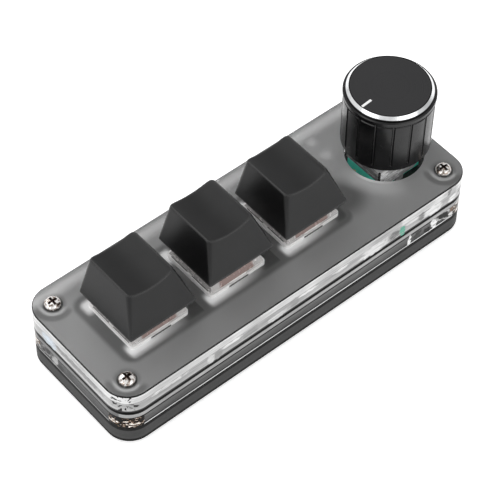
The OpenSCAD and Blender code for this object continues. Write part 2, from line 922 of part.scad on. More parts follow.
// Rotor: a disc keyed to the shaft, with a ring of detent notches on its upper face
module encoder_rotor() {
    notch_count = 20;
    notch = [1.6, 0.5, 0.25];
    color([0.9, 0.9, 0.88])
        translate([knob_x, 0, rotor_low])
            difference() {
                cylinder(r = rotor_r, h = rotor_t);
                translate([0, 0, -eps])
                    linear_extrude(rotor_t + 2 * eps)
                        key_section(run_gap);
                for (k = [0:notch_count - 1])
                    rotate([0, 0, k * 360 / notch_count])
                        translate([rotor_r, 0, rotor_t - notch[2]])
                            block(2 * notch[0], notch[1], notch[2] + eps);
            }
}

// Detent spring: a flat ring under the bushing's flange, with two round beads that reach the notches
module detent_spring() {
    ring_t = 0.3;
    ring_in = 3.7;
    bead_r = 0.5;
    color([0.8, 0.6, 0.3])
        translate([knob_x, 0, enc_top - cover_t - bush_flange_t - ring_t])
            difference() {
                union() {
                    cylinder(r = bush_flange_r, h = ring_t);
                    for (s = [-1, 1])
                        translate([s * (ring_in + 0.1), 0, 0])
                            rotate([0, s * 90, 0])
                                cylinder(r = bead_r, h = 0.8);
                }
                translate([0, 0, -1])
                    cylinder(r = ring_in, h = 2);
                translate([0, 0, ring_t])
                    block(2 * bush_d, bush_d, 1);
            }
}

// Contact fingers on the chamber's floor, and the five pins
module encoder_contacts() {
    foot_t = 0.3;
    finger = [1.6, 1, 0.2];
    pin_out = enc_pin_x - enc_l / 2;
    color([0.85, 0.7, 0.4])
        translate([knob_x, 0, 0]) {
            for (a = [90, 180, 270])
                rotate([0, 0, a])
                    translate([(enc_well_r + enc_cavity_r) / 2, 0, enc_floor])
                        block(finger[0], finger[1], finger[2]);
            at_encoder_pins()
                translate([0, 0, z_pcb_low - enc_pin_out])
                    block(foot_t, enc_pin_w, pcb_t + enc_pin_step + enc_pin_out);
            for (s = [-1, 1], k = s < 0 ? [-1, 0, 1] : [-1, 1])
                translate([s * (enc_l / 2 + pin_out / 2), k * enc_pin_pitch, z_pcb + enc_pin_step - foot_t])
                    block(pin_out, enc_pin_w, foot_t);
        }
}

// Shaft: round in the bushing, keyed in the rotor, with a flat where the knob grips it
module encoder_shaft() {
    flat_low = enc_top + bush_rise - 0.5;
    tip = 0.5;
    color([0.82, 0.82, 0.84])
        translate([knob_x, 0, 0])
            difference() {
                union() {
                    translate([0, 0, shaft_low])
                        linear_extrude(shaft_shoulder - shaft_low + eps)
                            key_section(0);
                    translate([0, 0, shaft_shoulder])
                        cylinder(r = shaft_r, h = shaft_top - shaft_shoulder - tip);
                    translate([0, 0, shaft_top - tip])
                        cylinder(r1 = shaft_r, r2 = shaft_r - tip, h = tip);
                }
                translate([shaft_r - flat_depth + shaft_r, 0, flat_low])
                    block(2 * shaft_r, 3 * shaft_r, shaft_rise);
            }
}

// Plunger: a disc in the well with a stub that the shaft's lower end pushes on
module push_plunger() {
    disc_t = 0.4;
    stub_r = 1.4;
    color([0.85, 0.85, 0.8])
        translate([knob_x, 0, plunger_low]) {
            cylinder(r = enc_well_r - 2 * slot_gap, h = disc_t);
            cylinder(r = stub_r, h = shaft_low - run_gap - plunger_low);
        }
}

// Snap dome in the floor of the well
module push_dome() {
    rim_r = enc_well_r - push;
    sheet = 0.12;
    ball_r = (rim_r * rim_r + dome_rise * dome_rise) / (2 * dome_rise);
    color([0.85, 0.8, 0.6])
        translate([knob_x, 0, enc_well_low])
            rotate_extrude()
                intersection() {
                    translate([0, dome_rise - ball_r])
                        difference() {
                            circle(r = ball_r, $fn = 128);
                            circle(r = ball_r - sheet, $fn = 128);
                        }
                    square([rim_r, dome_rise + eps]);
                }
}

// Knob: a skirt with grip grooves, a neck below a smooth collar, and a hub with a D bore inside
module knob_body() {
    rim = 0.2;
    groove_low = 1.7;
    groove_h = skirt_h - groove_low + neck_h / 2;
    groove_r = groove_w / 2;
    groove_turn = 7.8;
    lean = atan((knob_r - skirt_top_r) / skirt_h);
    color([0.07, 0.07, 0.08])
        translate([knob_x, 0, z_knob])
            difference() {
                union() {
                    difference() {
                        rotate_extrude()
                            polygon([
                                [0, 0], [knob_r - rim, 0], [knob_r, rim], [skirt_top_r, skirt_h - rim],
                                [skirt_top_r - rim, skirt_h], [neck_r, skirt_h],
                                [neck_r, skirt_h + neck_h], [collar_r, skirt_h + neck_h + rim],
                                [collar_r, ring_low - rim], [collar_r - rim, ring_low], [0, ring_low]
                            ]);
                        translate([0, 0, -eps])
                            cylinder(r = knob_r - knob_wall, h = shaft_top - z_knob + eps);
                        for (k = [0:groove_count - 1])
                            rotate([0, 0, groove_turn + k * 360 / groove_count])
                                translate([knob_r, 0, groove_low])
                                    rotate([0, -lean, 0]) {
                                        cylinder(r = groove_r, h = groove_h, $fn = 24);
                                        sphere(r = groove_r, $fn = 24);
                                    }
                    }
                    translate([0, 0, hub_low])
                        cylinder(r = hub_r, h = ring_low - hub_low - spigot_h);
                }
                translate([0, 0, hub_low - eps])
                    linear_extrude(shaft_top + shaft_end_gap - z_knob - hub_low + eps)
                        difference() {
                            circle(r = shaft_r + run_gap);
                            translate([shaft_r - flat_depth + run_gap + shaft_r, 0])
                                square([2 * shaft_r, 3 * shaft_r], center = true);
                        }
                translate([0, 0, ring_low - spigot_h])
                    cylinder(r = spigot_r + run_gap, h = spigot_h + eps);
            }
}

// Turned cap on the knob: a bright bevelled ring around a dark face, with a slot for the pointer
module knob_cap() {
    color([0.75, 0.76, 0.78])
        translate([knob_x, 0, z_knob])
            difference() {
                rotate_extrude()
                    polygon([
                        [0, ring_low - spigot_h], [spigot_r, ring_low - spigot_h], [spigot_r, ring_low],
                        [knob_ring_r, ring_low], [knob_ring_r, ring_low + ring_flat],
                        [knob_face_r, knob_h], [0, knob_h]
                    ]);
                rotate([0, 0, pointer_angle])
                    translate([(pointer_in + pointer_out) / 2, 0, knob_h - pointer_t])
                        block(pointer_out - pointer_in, pointer_w, pointer_t + eps);
            }
}

module pointer_line() {
    color("white")
        translate([knob_x, 0, z_knob])
            rotate([0, 0, pointer_angle])
                translate([(pointer_in + pointer_out) / 2, 0, knob_h - pointer_t])
                    block(pointer_out - pointer_in - run_gap, pointer_w - run_gap, pointer_t);
}

top_plate();
mid_frame();
base_shell();
case_screws();
threaded_inserts();
rubber_feet();
pcb();
usb_shell();
usb_tongue();
controller_chip();
smd_parts();
rgb_leds();
hotswap_sockets();
switch_base(0);  // switch_base_1
switch_base(1);  // switch_base_2
switch_base(2);  // switch_base_3
switch_top(0);  // switch_top_1
switch_top(1);  // switch_top_2
switch_top(2);  // switch_top_3
switch_stem(0);  // switch_stem_1
switch_stem(1);  // switch_stem_2
switch_stem(2);  // switch_stem_3
switch_spring(0);  // switch_spring_1
switch_spring(1);  // switch_spring_2
switch_spring(2);  // switch_spring_3
switch_contacts(0);  // switch_contacts_1
switch_contacts(1);  // switch_contacts_2
switch_contacts(2);  // switch_contacts_3
keycap(0);  // keycap_1
keycap(1);  // keycap_2
keycap(2);  // keycap_3
encoder_base();
encoder_cover();
encoder_bushing();
encoder_rotor();
detent_spring();
encoder_contacts();
encoder_shaft();
push_plunger();
push_dome();
knob_body();
knob_cap();
pointer_line();
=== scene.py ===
"""Looks of the programmable keypad: finishes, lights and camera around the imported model."""

import json
import math

import bmesh
import bpy
from mathutils import Matrix, Vector


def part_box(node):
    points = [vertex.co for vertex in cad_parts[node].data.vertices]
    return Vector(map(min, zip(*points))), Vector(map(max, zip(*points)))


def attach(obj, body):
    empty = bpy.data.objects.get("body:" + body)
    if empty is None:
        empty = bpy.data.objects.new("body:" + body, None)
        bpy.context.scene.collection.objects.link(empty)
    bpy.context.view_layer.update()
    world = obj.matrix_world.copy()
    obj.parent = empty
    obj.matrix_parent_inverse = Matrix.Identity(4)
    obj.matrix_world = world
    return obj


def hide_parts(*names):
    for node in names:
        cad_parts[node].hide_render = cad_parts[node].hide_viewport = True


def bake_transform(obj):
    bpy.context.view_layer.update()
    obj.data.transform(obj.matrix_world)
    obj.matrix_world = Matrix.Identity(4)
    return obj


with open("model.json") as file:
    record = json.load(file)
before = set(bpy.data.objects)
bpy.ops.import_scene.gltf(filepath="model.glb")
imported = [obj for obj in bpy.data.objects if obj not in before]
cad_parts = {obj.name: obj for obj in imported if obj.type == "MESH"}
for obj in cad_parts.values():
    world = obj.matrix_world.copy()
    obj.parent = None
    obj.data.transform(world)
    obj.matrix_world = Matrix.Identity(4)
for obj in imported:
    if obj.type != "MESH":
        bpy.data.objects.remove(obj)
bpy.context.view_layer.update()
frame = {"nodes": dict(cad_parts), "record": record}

MM = 0.001

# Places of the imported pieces, in metres
plate_low, plate_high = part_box("top_plate")
mid_low, mid_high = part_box("mid_frame")
base_low, base_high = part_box("base_shell")
board_low, board_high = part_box("pcb")
knob_low, knob_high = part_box("knob_cap")
screws_low, screws_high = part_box("case_screws")
PLATE_Z = plate_high.z
CORNER_R = 6 * MM
CORNER_X = plate_high.x - CORNER_R
CORNER_Y = plate_high.y - CORNER_R
HEAD_R = 1.95 * MM
SCREW_X = screws_high.x - HEAD_R
SCREW_Y = screws_high.y - HEAD_R
SCREWS = [Vector((x, y, 0)) for x in (-SCREW_X, SCREW_X) for y in (-SCREW_Y, SCREW_Y)]
KEY_X = [sum(box.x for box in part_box("switch_base_%d" % key)) / 2 for key in (1, 2, 3)]
KEY_PITCH = KEY_X[1] - KEY_X[0]
FLANGE = (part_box("switch_base_1")[1].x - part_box("switch_base_1")[0].x) / 2
KNOB_AXIS = (knob_low + knob_high) / 2
KNOB_R = knob_high.x - KNOB_AXIS.x
HOLE_R = min((p.co.xy - KNOB_AXIS.xy).length for p in frame["nodes"]["top_plate"].data.vertices)
SLOTS = {row["node"]: row["material_slot"] for row in frame["record"]["subparts"]}
BODIES = {
    node: body
    for body, nodes in frame["record"]["behaviour"]["bodies"].items() for node in nodes
}

# Camera: the photo's viewing angle and distance
CAMERA_TARGET = Vector((1.837 * MM, 3.15 * MM, 8.0 * MM))
CAMERA_AZIMUTH = math.radians(-41.303)
CAMERA_ELEVATION = math.radians(50.985)
CAMERA_ROLL = math.radians(1.303)
CAMERA_DISTANCE = 473.38 * MM
CAMERA_LENS = 148.18
SENSOR = 36.0


def make_camera():
    """Camera at the photo's viewing angle, with the object's place in the frame."""
    back = Vector((
        math.sin(CAMERA_AZIMUTH) * math.cos(CAMERA_ELEVATION),
        -math.cos(CAMERA_AZIMUTH) * math.cos(CAMERA_ELEVATION),
        math.sin(CAMERA_ELEVATION),
    ))
    right = (-back).cross(Vector((0, 0, 1))).normalized()
    up = back.cross(right)
    tilt_right = math.cos(CAMERA_ROLL) * right + math.sin(CAMERA_ROLL) * up
    tilt_up = math.cos(CAMERA_ROLL) * up - math.sin(CAMERA_ROLL) * right
    data = bpy.data.cameras.new("camera")
    data.sensor_width = SENSOR
    data.lens = CAMERA_LENS
    data.clip_start = 0.01
    data.clip_end = 10
    camera = bpy.data.objects.new("camera", data)
    bpy.context.collection.objects.link(camera)
    turn = Matrix((tilt_right, tilt_up, back)).transposed().to_4x4()
    camera.matrix_world = Matrix.Translation(CAMERA_TARGET + back * CAMERA_DISTANCE) @ turn
    bpy.context.scene.camera = camera


def grey(value):
    """Neutral colour of one tone."""
    return value, value, value


class Paint:
    """A node material around one Principled shader, with short calls for its texture nodes."""

    def __init__(self, name):
        self.material = bpy.data.materials.new(name)
        self.material.use_nodes = True
        self.tree = self.material.node_tree
        self.shader = self.tree.nodes["Principled BSDF"]

    def set(self, socket, value):
        """Plain value on the shader's own socket."""
        self.shader.inputs[socket].default_value = value

    def join(self, source, socket):
        """Links a node's output to the shader's socket."""
        self.tree.links.new(source, self.shader.inputs[socket])

    def feed(self, socket, value):
        """Links a node's output to a node's socket, or sets the socket to a plain value."""
        if isinstance(value, bpy.types.NodeSocket):
            self.tree.links.new(value, socket)
        else:
            socket.default_value = value

    def node(self, kind, **inputs):
        """New node, with its inputs set or linked by name."""
        made = self.tree.nodes.new(kind)
        for name, value in inputs.items():
            self.feed(made.inputs[name.replace("_", " ")], value)
        return made

    # Sums

    def math(self, operation, a, b=0.0):
        """One sum of two values."""
        made = self.tree.nodes.new("ShaderNodeMath")
        made.operation = operation
        for socket, value in zip(made.inputs, (a, b)):
            self.feed(socket, value)
        return made.outputs[0]

    def less(self, a, b):
        """The first value less the second."""
        return self.math("SUBTRACT", a, b)

    def rest(self, mask):
        """What a mask leaves: 1 less the mask."""
        return self.less(1.0, mask)

    def size(self, value):
        """The value without its sign."""
        return self.math("ABSOLUTE", value)

    def times(self, *values):
        """Product of several values."""
        made = values[0]
        for value in values[1:]:
            made = self.math("MULTIPLY", made, value)
        return made

    def most(self, *values):
        """Largest of several values."""
        made = values[0]
        for value in values[1:]:
            made = self.math("MAXIMUM", made, value)
        return made

    def length(self, a, b):
        """Length of a level line from its two parts."""
        return self.math("SQRT", self.math("ADD", self.times(a, a), self.times(b, b)))

    # Masks and mixes

    def ramp(self, source, low, high, at=(0.3, 0.7)):
        """Maps a value to a range between two values or colours."""
        if isinstance(low, tuple):
            return self.stops(source, zip(at, (low, high)))
        made = self.tree.nodes.new("ShaderNodeMapRange")
        for name, value in zip(("From Min", "From Max", "To Min", "To Max"), (*at, low, high)):
            made.inputs[name].default_value = value
        self.feed(made.inputs["Value"], source)
        return made.outputs["Result"]

    def stops(self, source, rows):
        """Maps a value to colours, from rows of a value and its colour."""
        rows = list(rows)
        made = self.node("ShaderNodeValToRGB", Fac=source)
        points = made.color_ramp.elements
        while len(points) < len(rows):
            points.new(0.5)
        for point, (place, colour) in zip(points, rows):
            point.position = place
        for point, (place, colour) in zip(points, rows):
            point.color = (*colour, 1)
        return made.outputs["Color"]

    def bands(self, height, rows):
        """Grey by height: each row is a height in mm and a tone."""
        top = 20.0
        share = self.ramp(height, 0.0, 1.0, (0.0, top * MM))
        return self.stops(share, [(level / top, grey(tone)) for level, tone in rows])

    def fade(self, source, full, gone):
        """Smooth mask: 1 up to one level of the source and 0 from another, both in mm."""
        made = self.tree.nodes.new("ShaderNodeMapRange")
        made.interpolation_type = "SMOOTHSTEP"
        low, high = sorted((full, gone))
        ends = (1.0, 0.0) if full < gone else (0.0, 1.0)
        sockets = ("From Min", "From Max", "To Min", "To Max")
        for name, value in zip(sockets, (low * MM, high * MM, *ends)):
            made.inputs[name].default_value = value
        self.feed(made.inputs["Value"], source)
        return made.outputs["Result"]

    def lerp(self, mask, first, second):
        """Value that goes from one value to another by a mask."""
        made = self.node("ShaderNodeMapRange", Value=mask)
        self.feed(made.inputs["To Min"], first)
        self.feed(made.inputs["To Max"], second)
        return made.outputs["Result"]

    def mix(self, mask, first, second):
        """Colour that goes from one colour to another by a mask."""
        made = self.tree.nodes.new("ShaderNodeMix")
        made.data_type = "RGBA"
        factor, colour_a, colour_b = made.inputs[0], made.inputs[6], made.inputs[7]
        for socket, value in ((factor, mask), (colour_a, first), (colour_b, second)):
            self.feed(socket, (*value, 1) if isinstance(value, tuple) else value)
        return made.outputs[2]

    def tint(self, colour, factor):
        """Colour multiplied by a value."""
        made = self.tree.nodes.new("ShaderNodeVectorMath")
        made.operation = "SCALE"
        self.feed(made.inputs[0], colour)
        self.feed(made.inputs["Scale"], factor)
        return made.outputs[0]

    # Places on the object

    def place(self, kind="Object"):
        """Texture coordinate output."""
        return self.tree.nodes.new("ShaderNodeTexCoord").outputs[kind]

    def axes(self, kind="Object"):
        """The three parts of a texture coordinate, the object's own unless another is asked for."""
        return self.node("ShaderNodeSeparateXYZ", Vector=self.place(kind)).outputs[:3]

    def radius(self, centre):
        """Distance from the upright line through a point."""
        x, y = self.axes()[:2]
        return self.length(self.less(x, centre.x), self.less(y, centre.y))

    def near(self, centres, full, gone):
        """Smooth mask around any of several upright lines."""
        return self.most(*[self.fade(self.radius(centre), full, gone) for centre in centres])

    def outside(self, x, half_x, y, half_y):
        """How far a place is outside a rectangle: along X, along Y, and in a straight line."""
        past_x = self.most(self.less(self.size(x), half_x), 0.0)
        past_y = self.most(self.less(self.size(y), half_y), 0.0)
        return past_x, past_y, self.length(past_x, past_y)

    def key_place(self):
        """Place from the nearest key's middle, distance outside its flange, mask of the key row.

        Four and a half pitches are added first, so that the remainder is of a positive value.
        """
        x, y = self.axes()[:2]
        shifted = self.math("ADD", x, 4.5 * KEY_PITCH - KEY_X[0])
        u = self.less(self.math("MODULO", shifted, KEY_PITCH), KEY_PITCH / 2)
        away = self.outside(u, FLANGE, y, FLANGE)[2]
        first, last = (KEY_X[0] - KEY_PITCH / 2) / MM, (KEY_X[2] + KEY_PITCH / 2) / MM
        inside = self.times(self.fade(x, first + 0.2, first), self.fade(x, last - 0.2, last))
        return u, y, away, inside

    def wall(self):
        """Masks of the layers' outer wall, its round corners, and the rim of the face above."""
        x, y = self.axes()[:2]
        past_x, past_y, away = self.outside(x, CORNER_X, y, CORNER_Y)
        wall = self.ramp(away, 0.0, 1.0, (CORNER_R - 0.46 * MM, CORNER_R - 0.42 * MM))
        rim = self.ramp(away, 0.0, 1.0, (CORNER_R - 0.3 * MM, CORNER_R - 0.2 * MM))
        turned = self.math("MINIMUM", past_x, past_y)
        corner = self.ramp(turned, 0.0, 1.0, (0.3 * MM, 1.5 * MM))
        return wall, self.times(wall, corner), rim

    def long_sides(self):
        """Mask of the outer wall's long sides."""
        y = self.axes()[1]
        return self.ramp(self.size(y), 0.0, 1.0, (CORNER_Y + 3 * MM, CORNER_Y + 3.1 * MM))

    # Drawn and raised detail

    def noise(self, scale, detail=2.0, stretch=None, rough=0.5):
        """Noise over the object's own coordinates, as a value from 0 to 1."""
        where = self.place()
        if stretch:
            where = self.node("ShaderNodeMapping", Vector=where, Scale=stretch).outputs["Vector"]
        made = self.node(
            "ShaderNodeTexNoise", Vector=where, Scale=scale, Detail=detail, Roughness=rough)
        return made.outputs["Fac"]

    def mark(self, along, height, row, wobble):
        """Mask of an oval mark, from a row of the marks' tables without its tone."""
        place, level, half, tall, slant = row
        across = self.less(along, place * MM)
        up = self.less(self.less(height, level * MM), self.times(across, slant))
        reach = [
            self.math("POWER", self.size(self.math("DIVIDE", part, extent * MM)), 2.5)
            for part, extent in ((across, half), (up, tall))
        ]
        outline = self.math("ADD", self.math("ADD", *reach), wobble)
        return self.ramp(outline, 1.0, 0.0, (0.45, 1.5))

    def marks(self, colour, along, height, rows, wobble, mask):
        """Colour with a table's marks over it."""
        for *row, tone in rows:
            tone = grey(tone) if isinstance(tone, float) else tone
            drawn = self.times(self.mark(along, height, row, wobble), mask)
            colour = self.mix(drawn, colour, tone)
        return colour

    def bump(self, source, distance, strength=1.0, soften=0.0):
        """Bump from a height value, in metres, over corners softened by a radius in mm."""
        made = self.node("ShaderNodeBump", Height=source, Strength=strength, Distance=distance)
        if soften:
            corner = self.node("ShaderNodeBevel", Radius=soften * MM)
            corner.samples = 6
            self.feed(made.inputs["Normal"], corner.outputs["Normal"])
        self.join(made.outputs["Normal"], "Normal")

    def edge_mask(self, radius):
        """Mask along the edges of a piece, from a normal rounded over a radius in mm."""
        rounded = self.node("ShaderNodeBevel", Radius=radius * MM)
        rounded.samples = 6
        plain = self.tree.nodes.new("ShaderNodeNewGeometry")
        both = self.tree.nodes.new("ShaderNodeVectorMath")
        both.operation = "DOT_PRODUCT"
        self.feed(both.inputs[0], rounded.outputs["Normal"])
        self.feed(both.inputs[1], plain.outputs["Normal"])
        return self.ramp(both.outputs["Value"], 1.0, 0.0, (0.94, 0.985))


# Stage: light in watts, places and sizes in metres
WORLD_STRENGTH = 0.76
FLOOR_GLOW = 0.5
FLOOR_HALF = 3.0
LIGHTS = (
    ("left_light", (-0.9, 0.0, 0.5), 0.6, 2),
    ("front_light", (0.1, -0.9, 0.6), 0.7, 2),
    ("top_light", (-0.1, 0.8, 0.8), 0.9, 3),
)


def make_light(name, place, size, power):
    """Square soft light that points at the middle of the keypad."""
    data = bpy.data.lights.new(name, "AREA")
    data.size = size
    data.energy = power
    light = bpy.data.objects.new(name, data)
    bpy.context.collection.objects.link(light)
    light.location = place
    light.rotation_mode = "QUATERNION"
    light.rotation_quaternion = (Vector(place) - CAMERA_TARGET).to_track_quat("Z", "Y")


def make_stage():
    """White floor, even pale surroundings and soft studio lights."""
    scene = bpy.context.scene
    scene.view_settings.view_transform = "Standard"
    world = bpy.data.worlds.new("studio")
    world.use_nodes = True
    world.node_tree.nodes["Background"].inputs["Color"].default_value = (1, 1, 1, 1)
    world.node_tree.nodes["Background"].inputs["Strength"].default_value = WORLD_STRENGTH
    scene.world = world
    mesh = bpy.data.meshes.new("floor")
    turns = ((-1, -1), (1, -1), (1, 1), (-1, 1))
    mesh.from_pydata([(FLOOR_HALF * x, FLOOR_HALF * y, 0) for x, y in turns], [], [(0, 1, 2, 3)])
    floor = bpy.data.objects.new("floor", mesh)
    bpy.context.collection.objects.link(floor)
    paint = Paint("floor")
    paint.set("Base Color", (0.95, 0.95, 0.95, 1))
    paint.set("Roughness", 0.9)
    paint.set("Specular IOR Level", 0.0)
    paint.set("Emission Color", (1, 1, 1, 1))
    paint.set("Emission Strength", FLOOR_GLOW)
    floor.data.materials.append(paint.material)
    for light in LIGHTS:
        make_light(*light)


# Breadth in mm of the painted highlight along edges
EDGE_HIGHLIGHT_BREADTH = 0.8


def moulded(name, dark, light, rough, grain_mm=0.35, bump_mm=0.01, specular=0.5,
            soften=0.0, edges=None):
    """Moulded plastic: slight drift of colour, fine grain, and a painted highlight on edges if
    given.
    """
    paint = Paint(name)
    colour = paint.ramp(paint.noise(140, 3), dark, light)
    # Painted highlight: a lighter tone along the edges, as if they caught the light
    if edges:
        colour = paint.mix(paint.edge_mask(EDGE_HIGHLIGHT_BREADTH), colour, edges)
    paint.join(colour, "Base Color")
    grain = paint.noise(1 / (grain_mm * MM), 2)
    paint.join(paint.ramp(grain, rough - 0.06, rough + 0.06), "Roughness")
    paint.set("Specular IOR Level", specular)
    paint.bump(grain, bump_mm * MM, soften=soften)
    return paint.material


def metal(name, dark, light, rough):
    """Metal with a surface finished by tumbling."""
    paint = Paint(name)
    lines = paint.noise(900, 3)
    paint.join(paint.ramp(lines, dark, light), "Base Color")
    paint.set("Metallic", 1.0)
    paint.join(paint.ramp(lines, rough * 0.7, rough * 1.3), "Roughness")
    paint.bump(lines, 0.004 * MM)
    return paint.material


# Cut edges of the clear layers, by height in mm and tone: painted light of an edge lit through the
# clear layers, dark seams at the joints, partly painted shade, and bright painted lines between
ACRYLIC_IOR = 1.49
WALL_CLEARNESS = 0.3
PLATE_WALL = (
    (11.7, 0.0), (12.36, 0.0), (12.46, 0.38), (12.7, 0.45), (14.0, 0.34), (15.0, 0.4),
    (15.15, 0.25), (15.35, 0.82), (15.6, 0.7), (16.4, 0.68), (16.9, 0.72), (17.2, 0.95),
    (17.32, 0.75), (17.38, 0.0),
)
FRAME_LOW = mid_low.z / MM
FRAME_WALL = (
    (FRAME_LOW, 0.75), (FRAME_LOW + 0.45, 0.75), (FRAME_LOW + 0.5, 0.0),
    (FRAME_LOW + 0.9, 0.0), (FRAME_LOW + 1.0, 0.06),
    (9.4, 0.13), (9.45, 0.0), (9.9, 0.0), (9.95, 0.38), (11.0, 0.4), (11.1, 0.0), (11.7, 0.0),
)

# Painted marks of what shows through the cut edges, painted glints and shade of the parts behind:
# middle along the wall, middle height, half length and half height in mm, rise of the slant, and
# tone. The plate's go by X on its long sides and by Y on its short ones, the frame's by the
# distance to its round corner at the back or right.
EDGE_GREEN = (0.1, 0.36, 0.26)
EDGE_BLUE = (0.5, 0.56, 0.62)
EDGE_BROWN = (0.2, 0.13, 0.09)
LONG_MARKS = (
    (-39.5, 14.6, 4.6, 0.5, 0.0, 0.72), (-27.4, 13.8, 1.0, 1.4, 0.0, 0.6),
    (-25.3, 13.8, 1.0, 1.5, 0.0, 0.3), (-21.4, 14.6, 2.9, 0.5, 0.0, 0.72),
    (-16.2, 13.9, 2.2, 1.2, 0.0, 0.3), (-8.3, 13.1, 2.8, 0.9, 0.0, 0.6),
    (-3.5, 14.0, 1.3, 1.3, 0.0, 0.3), (0.6, 14.6, 3.0, 0.45, 0.0, 0.72),
    (10.4, 14.6, 2.4, 0.45, 0.0, 0.72), (20.9, 13.8, 4.0, 1.5, 0.0, 0.68),
    (26.8, 13.9, 1.5, 1.3, 0.0, 0.16), (29.4, 13.6, 0.8, 1.6, -0.4, EDGE_GREEN),
    (32.6, 14.6, 2.0, 0.4, 0.0, 0.6), (35.4, 14.0, 1.0, 1.2, 0.0, 0.2),
    (39.1, 13.8, 2.6, 1.5, 0.0, 0.72), (44.0, 16.4, 0.7, 1.0, 0.5, 0.3),
    (45.6, 13.6, 1.6, 1.1, 0.3, 0.75),
)
SHORT_MARKS = ((8.0, 13.7, 2.6, 1.5, 0.0, EDGE_BLUE), (-2.5, 14.3, 8.0, 0.9, 0.0, 0.2))
LONG_FRAME_MARKS = ((13.4, 8.0, 0.45, 1.7, 0.0, 0.85),)
FRAME_MARKS = (
    (11.0, 8.0, 1.3, 1.4, 0.0, 0.04), (7.6, 7.4, 1.0, 1.0, 0.3, 0.0),
    (5.6, 8.4, 1.0, 1.8, 0.25, 0.8), (2.6, 8.9, 2.9, 1.5, 0.4, 0.55),
    (2.7, 8.9, 2.5, 1.0, 0.4, 0.0), (-0.3, 8.8, 0.9, 1.2, 0.0, EDGE_BROWN),
    (-0.8, 7.4, 1.4, 0.6, 0.3, 0.8),
)

# Broken glints in the frame's round corners, by a noise value
GLINTS = (
    (0.5, (0.0, 0.0, 0.0)), (0.53, (0.05, 0.03, 0.02)),
    (0.55, (0.35, 0.2, 0.1)), (0.575, (1.0, 0.97, 0.93)),
)


def wall_clearness(paint, corner, at_corner):
    """How clear the outer wall is: in patches along it, and another value at its corners."""
    dull, clear = WALL_CLEARNESS * 0.7, WALL_CLEARNESS * 1.9
    patches = paint.ramp(paint.noise(55, 2, (1, 1, 0.5)), dull, clear, (0.45, 0.68))
    return paint.lerp(corner, patches, at_corner)


def wall_streaks(paint):
    """Long level streaks of a cut edge, in lighter and darker stretches."""
    level = paint.ramp(paint.noise(160, 2, (1, 1, 14)), 0.8, 1.16)
    stretches = paint.ramp(paint.noise(70, 2, (1, 1, 0.4)), 0.85, 1.1, (0.35, 0.65))
    return paint.times(level, stretches)


def spokes(paint, corner):
    """Painted dark glints: strokes that fan out from the middle of each of the plate's round
    corners.
    """
    x, y, z = paint.axes()
    past_x = paint.less(paint.size(x), CORNER_X)
    past_y = paint.less(paint.size(y), CORNER_Y)
    aside = paint.times(paint.less(past_x, past_y), 0.8)
    up = paint.less(z, 15.4 * MM)
    turn = paint.math("ARCTAN2", up, aside)
    away = paint.length(aside, up)
    where = paint.node("ShaderNodeCombineXYZ", X=turn, Y=paint.times(away, 160.0)).outputs[0]
    fan = paint.node("ShaderNodeTexNoise", Vector=where, Scale=3.4, Detail=2.0).outputs["Fac"]
    strokes = paint.ramp(fan, 1.0, 0.0, (0.43, 0.46))
    return paint.times(strokes, paint.fade(away, 3.2, 4.0), paint.fade(away, 1.3, 0.8), corner)


# Frosted face: its finish, then its painted shade and painted light. A fade is where it is full and
# where it is gone, in mm. U and V are the place from the nearest key's middle.
FROST_CLEARNESS = 0.78
FROST_GREY = 0.82
FROST_ROUGHNESS = 0.75
# Strength of the painted glow where the painted light falls, though the face is no lamp
PAINTED_GLOW = 0.16
# Painted light: the face lighter towards its ends and its back
TONE_X, TONE_ENDS, TONE_MIDDLE = (15.0, 45.0), 0.95, 0.8
TONE_Y, TONE_BACK = (-14.0, 14.0), 1.08
# Share of the grey left under full painted shade, tone under full painted light, tone along the rim
DARK_SHARE, LIGHT_TONE, RIM_TONE = 0.12, 0.97, 0.15
# Painted shade around the keys, next to the flanges on the right of each key, and right of the last
# key
KEY_SHADE_AWAY, KEY_SHADE_DARK = (2.3, 3.7), 0.68
GAP_AWAY, GAP_U, GAP_DARK = (0.8, 3.4), (7.0, 4.0), 0.92
LAST_GAP, LAST_GAP_AWAY, LAST_GAP_DARK = Vector((23.0 * MM, -4.5 * MM, 0)), (2.5, 7.5), 0.7
# Painted light of the white housings in front of each flange and at its back left corner
HALO_AWAY, HALO_V, HALO_LIGHT = (0.2, 2.8), (-7.6, -5.0), 0.9
HALO_RIGHT, HALO_LEFT = (-5.0, 8.6), (-8.4, -9.8)
STRIP_AWAY, STRIP_U, STRIP_V, STRIP_LIGHT = (0.5, 2.1), (-7.2, -6.0), (6.8, 4.6), 0.75
# Painted light in a band along the back edge
BAND_FRONT, BAND_BACK, BAND_LIGHT = (16.0, 13.2), (16.0, 18.0), 0.35
# Painted shade in rings and an arc around each screw, and a painted highlight, on its side towards
# the viewer
SCREW_SIDE = (-2.4, 0.0)
RING_AWAY, SOFT_RING_AWAY, SOFT_RING_DARK = (2.1, 2.5), (2.4, 3.4), 0.35
ARC_OUT, ARC_IN, ARC_DARK = (4.2, 5.2), (3.7, 3.1), 0.5
SHINE_OUT, SHINE_IN, SHINE_LIGHT = (2.9, 3.3), (2.6, 2.4), 0.3
# Painted light of the encoder's cover in front of the knob, and along the edge of its hole
KNOB_AWAY, KNOB_LIGHT = (10.2, 15.0), 0.38
HOLE_AWAY, HOLE_LIGHT = (HOLE_R / MM + 0.5, HOLE_R / MM + 1.1), 0.8
KNOB_X, KNOB_Y = (30.0, 38.0), (-4.0, 2.0)
# Two small spots of painted light
SPOTS = [Vector((28.7 * MM, y * MM, 0)) for y in (12.8, 7.6)]
SPOT_AWAY, SPOT_LIGHT = (0.2, 2.2), 0.22


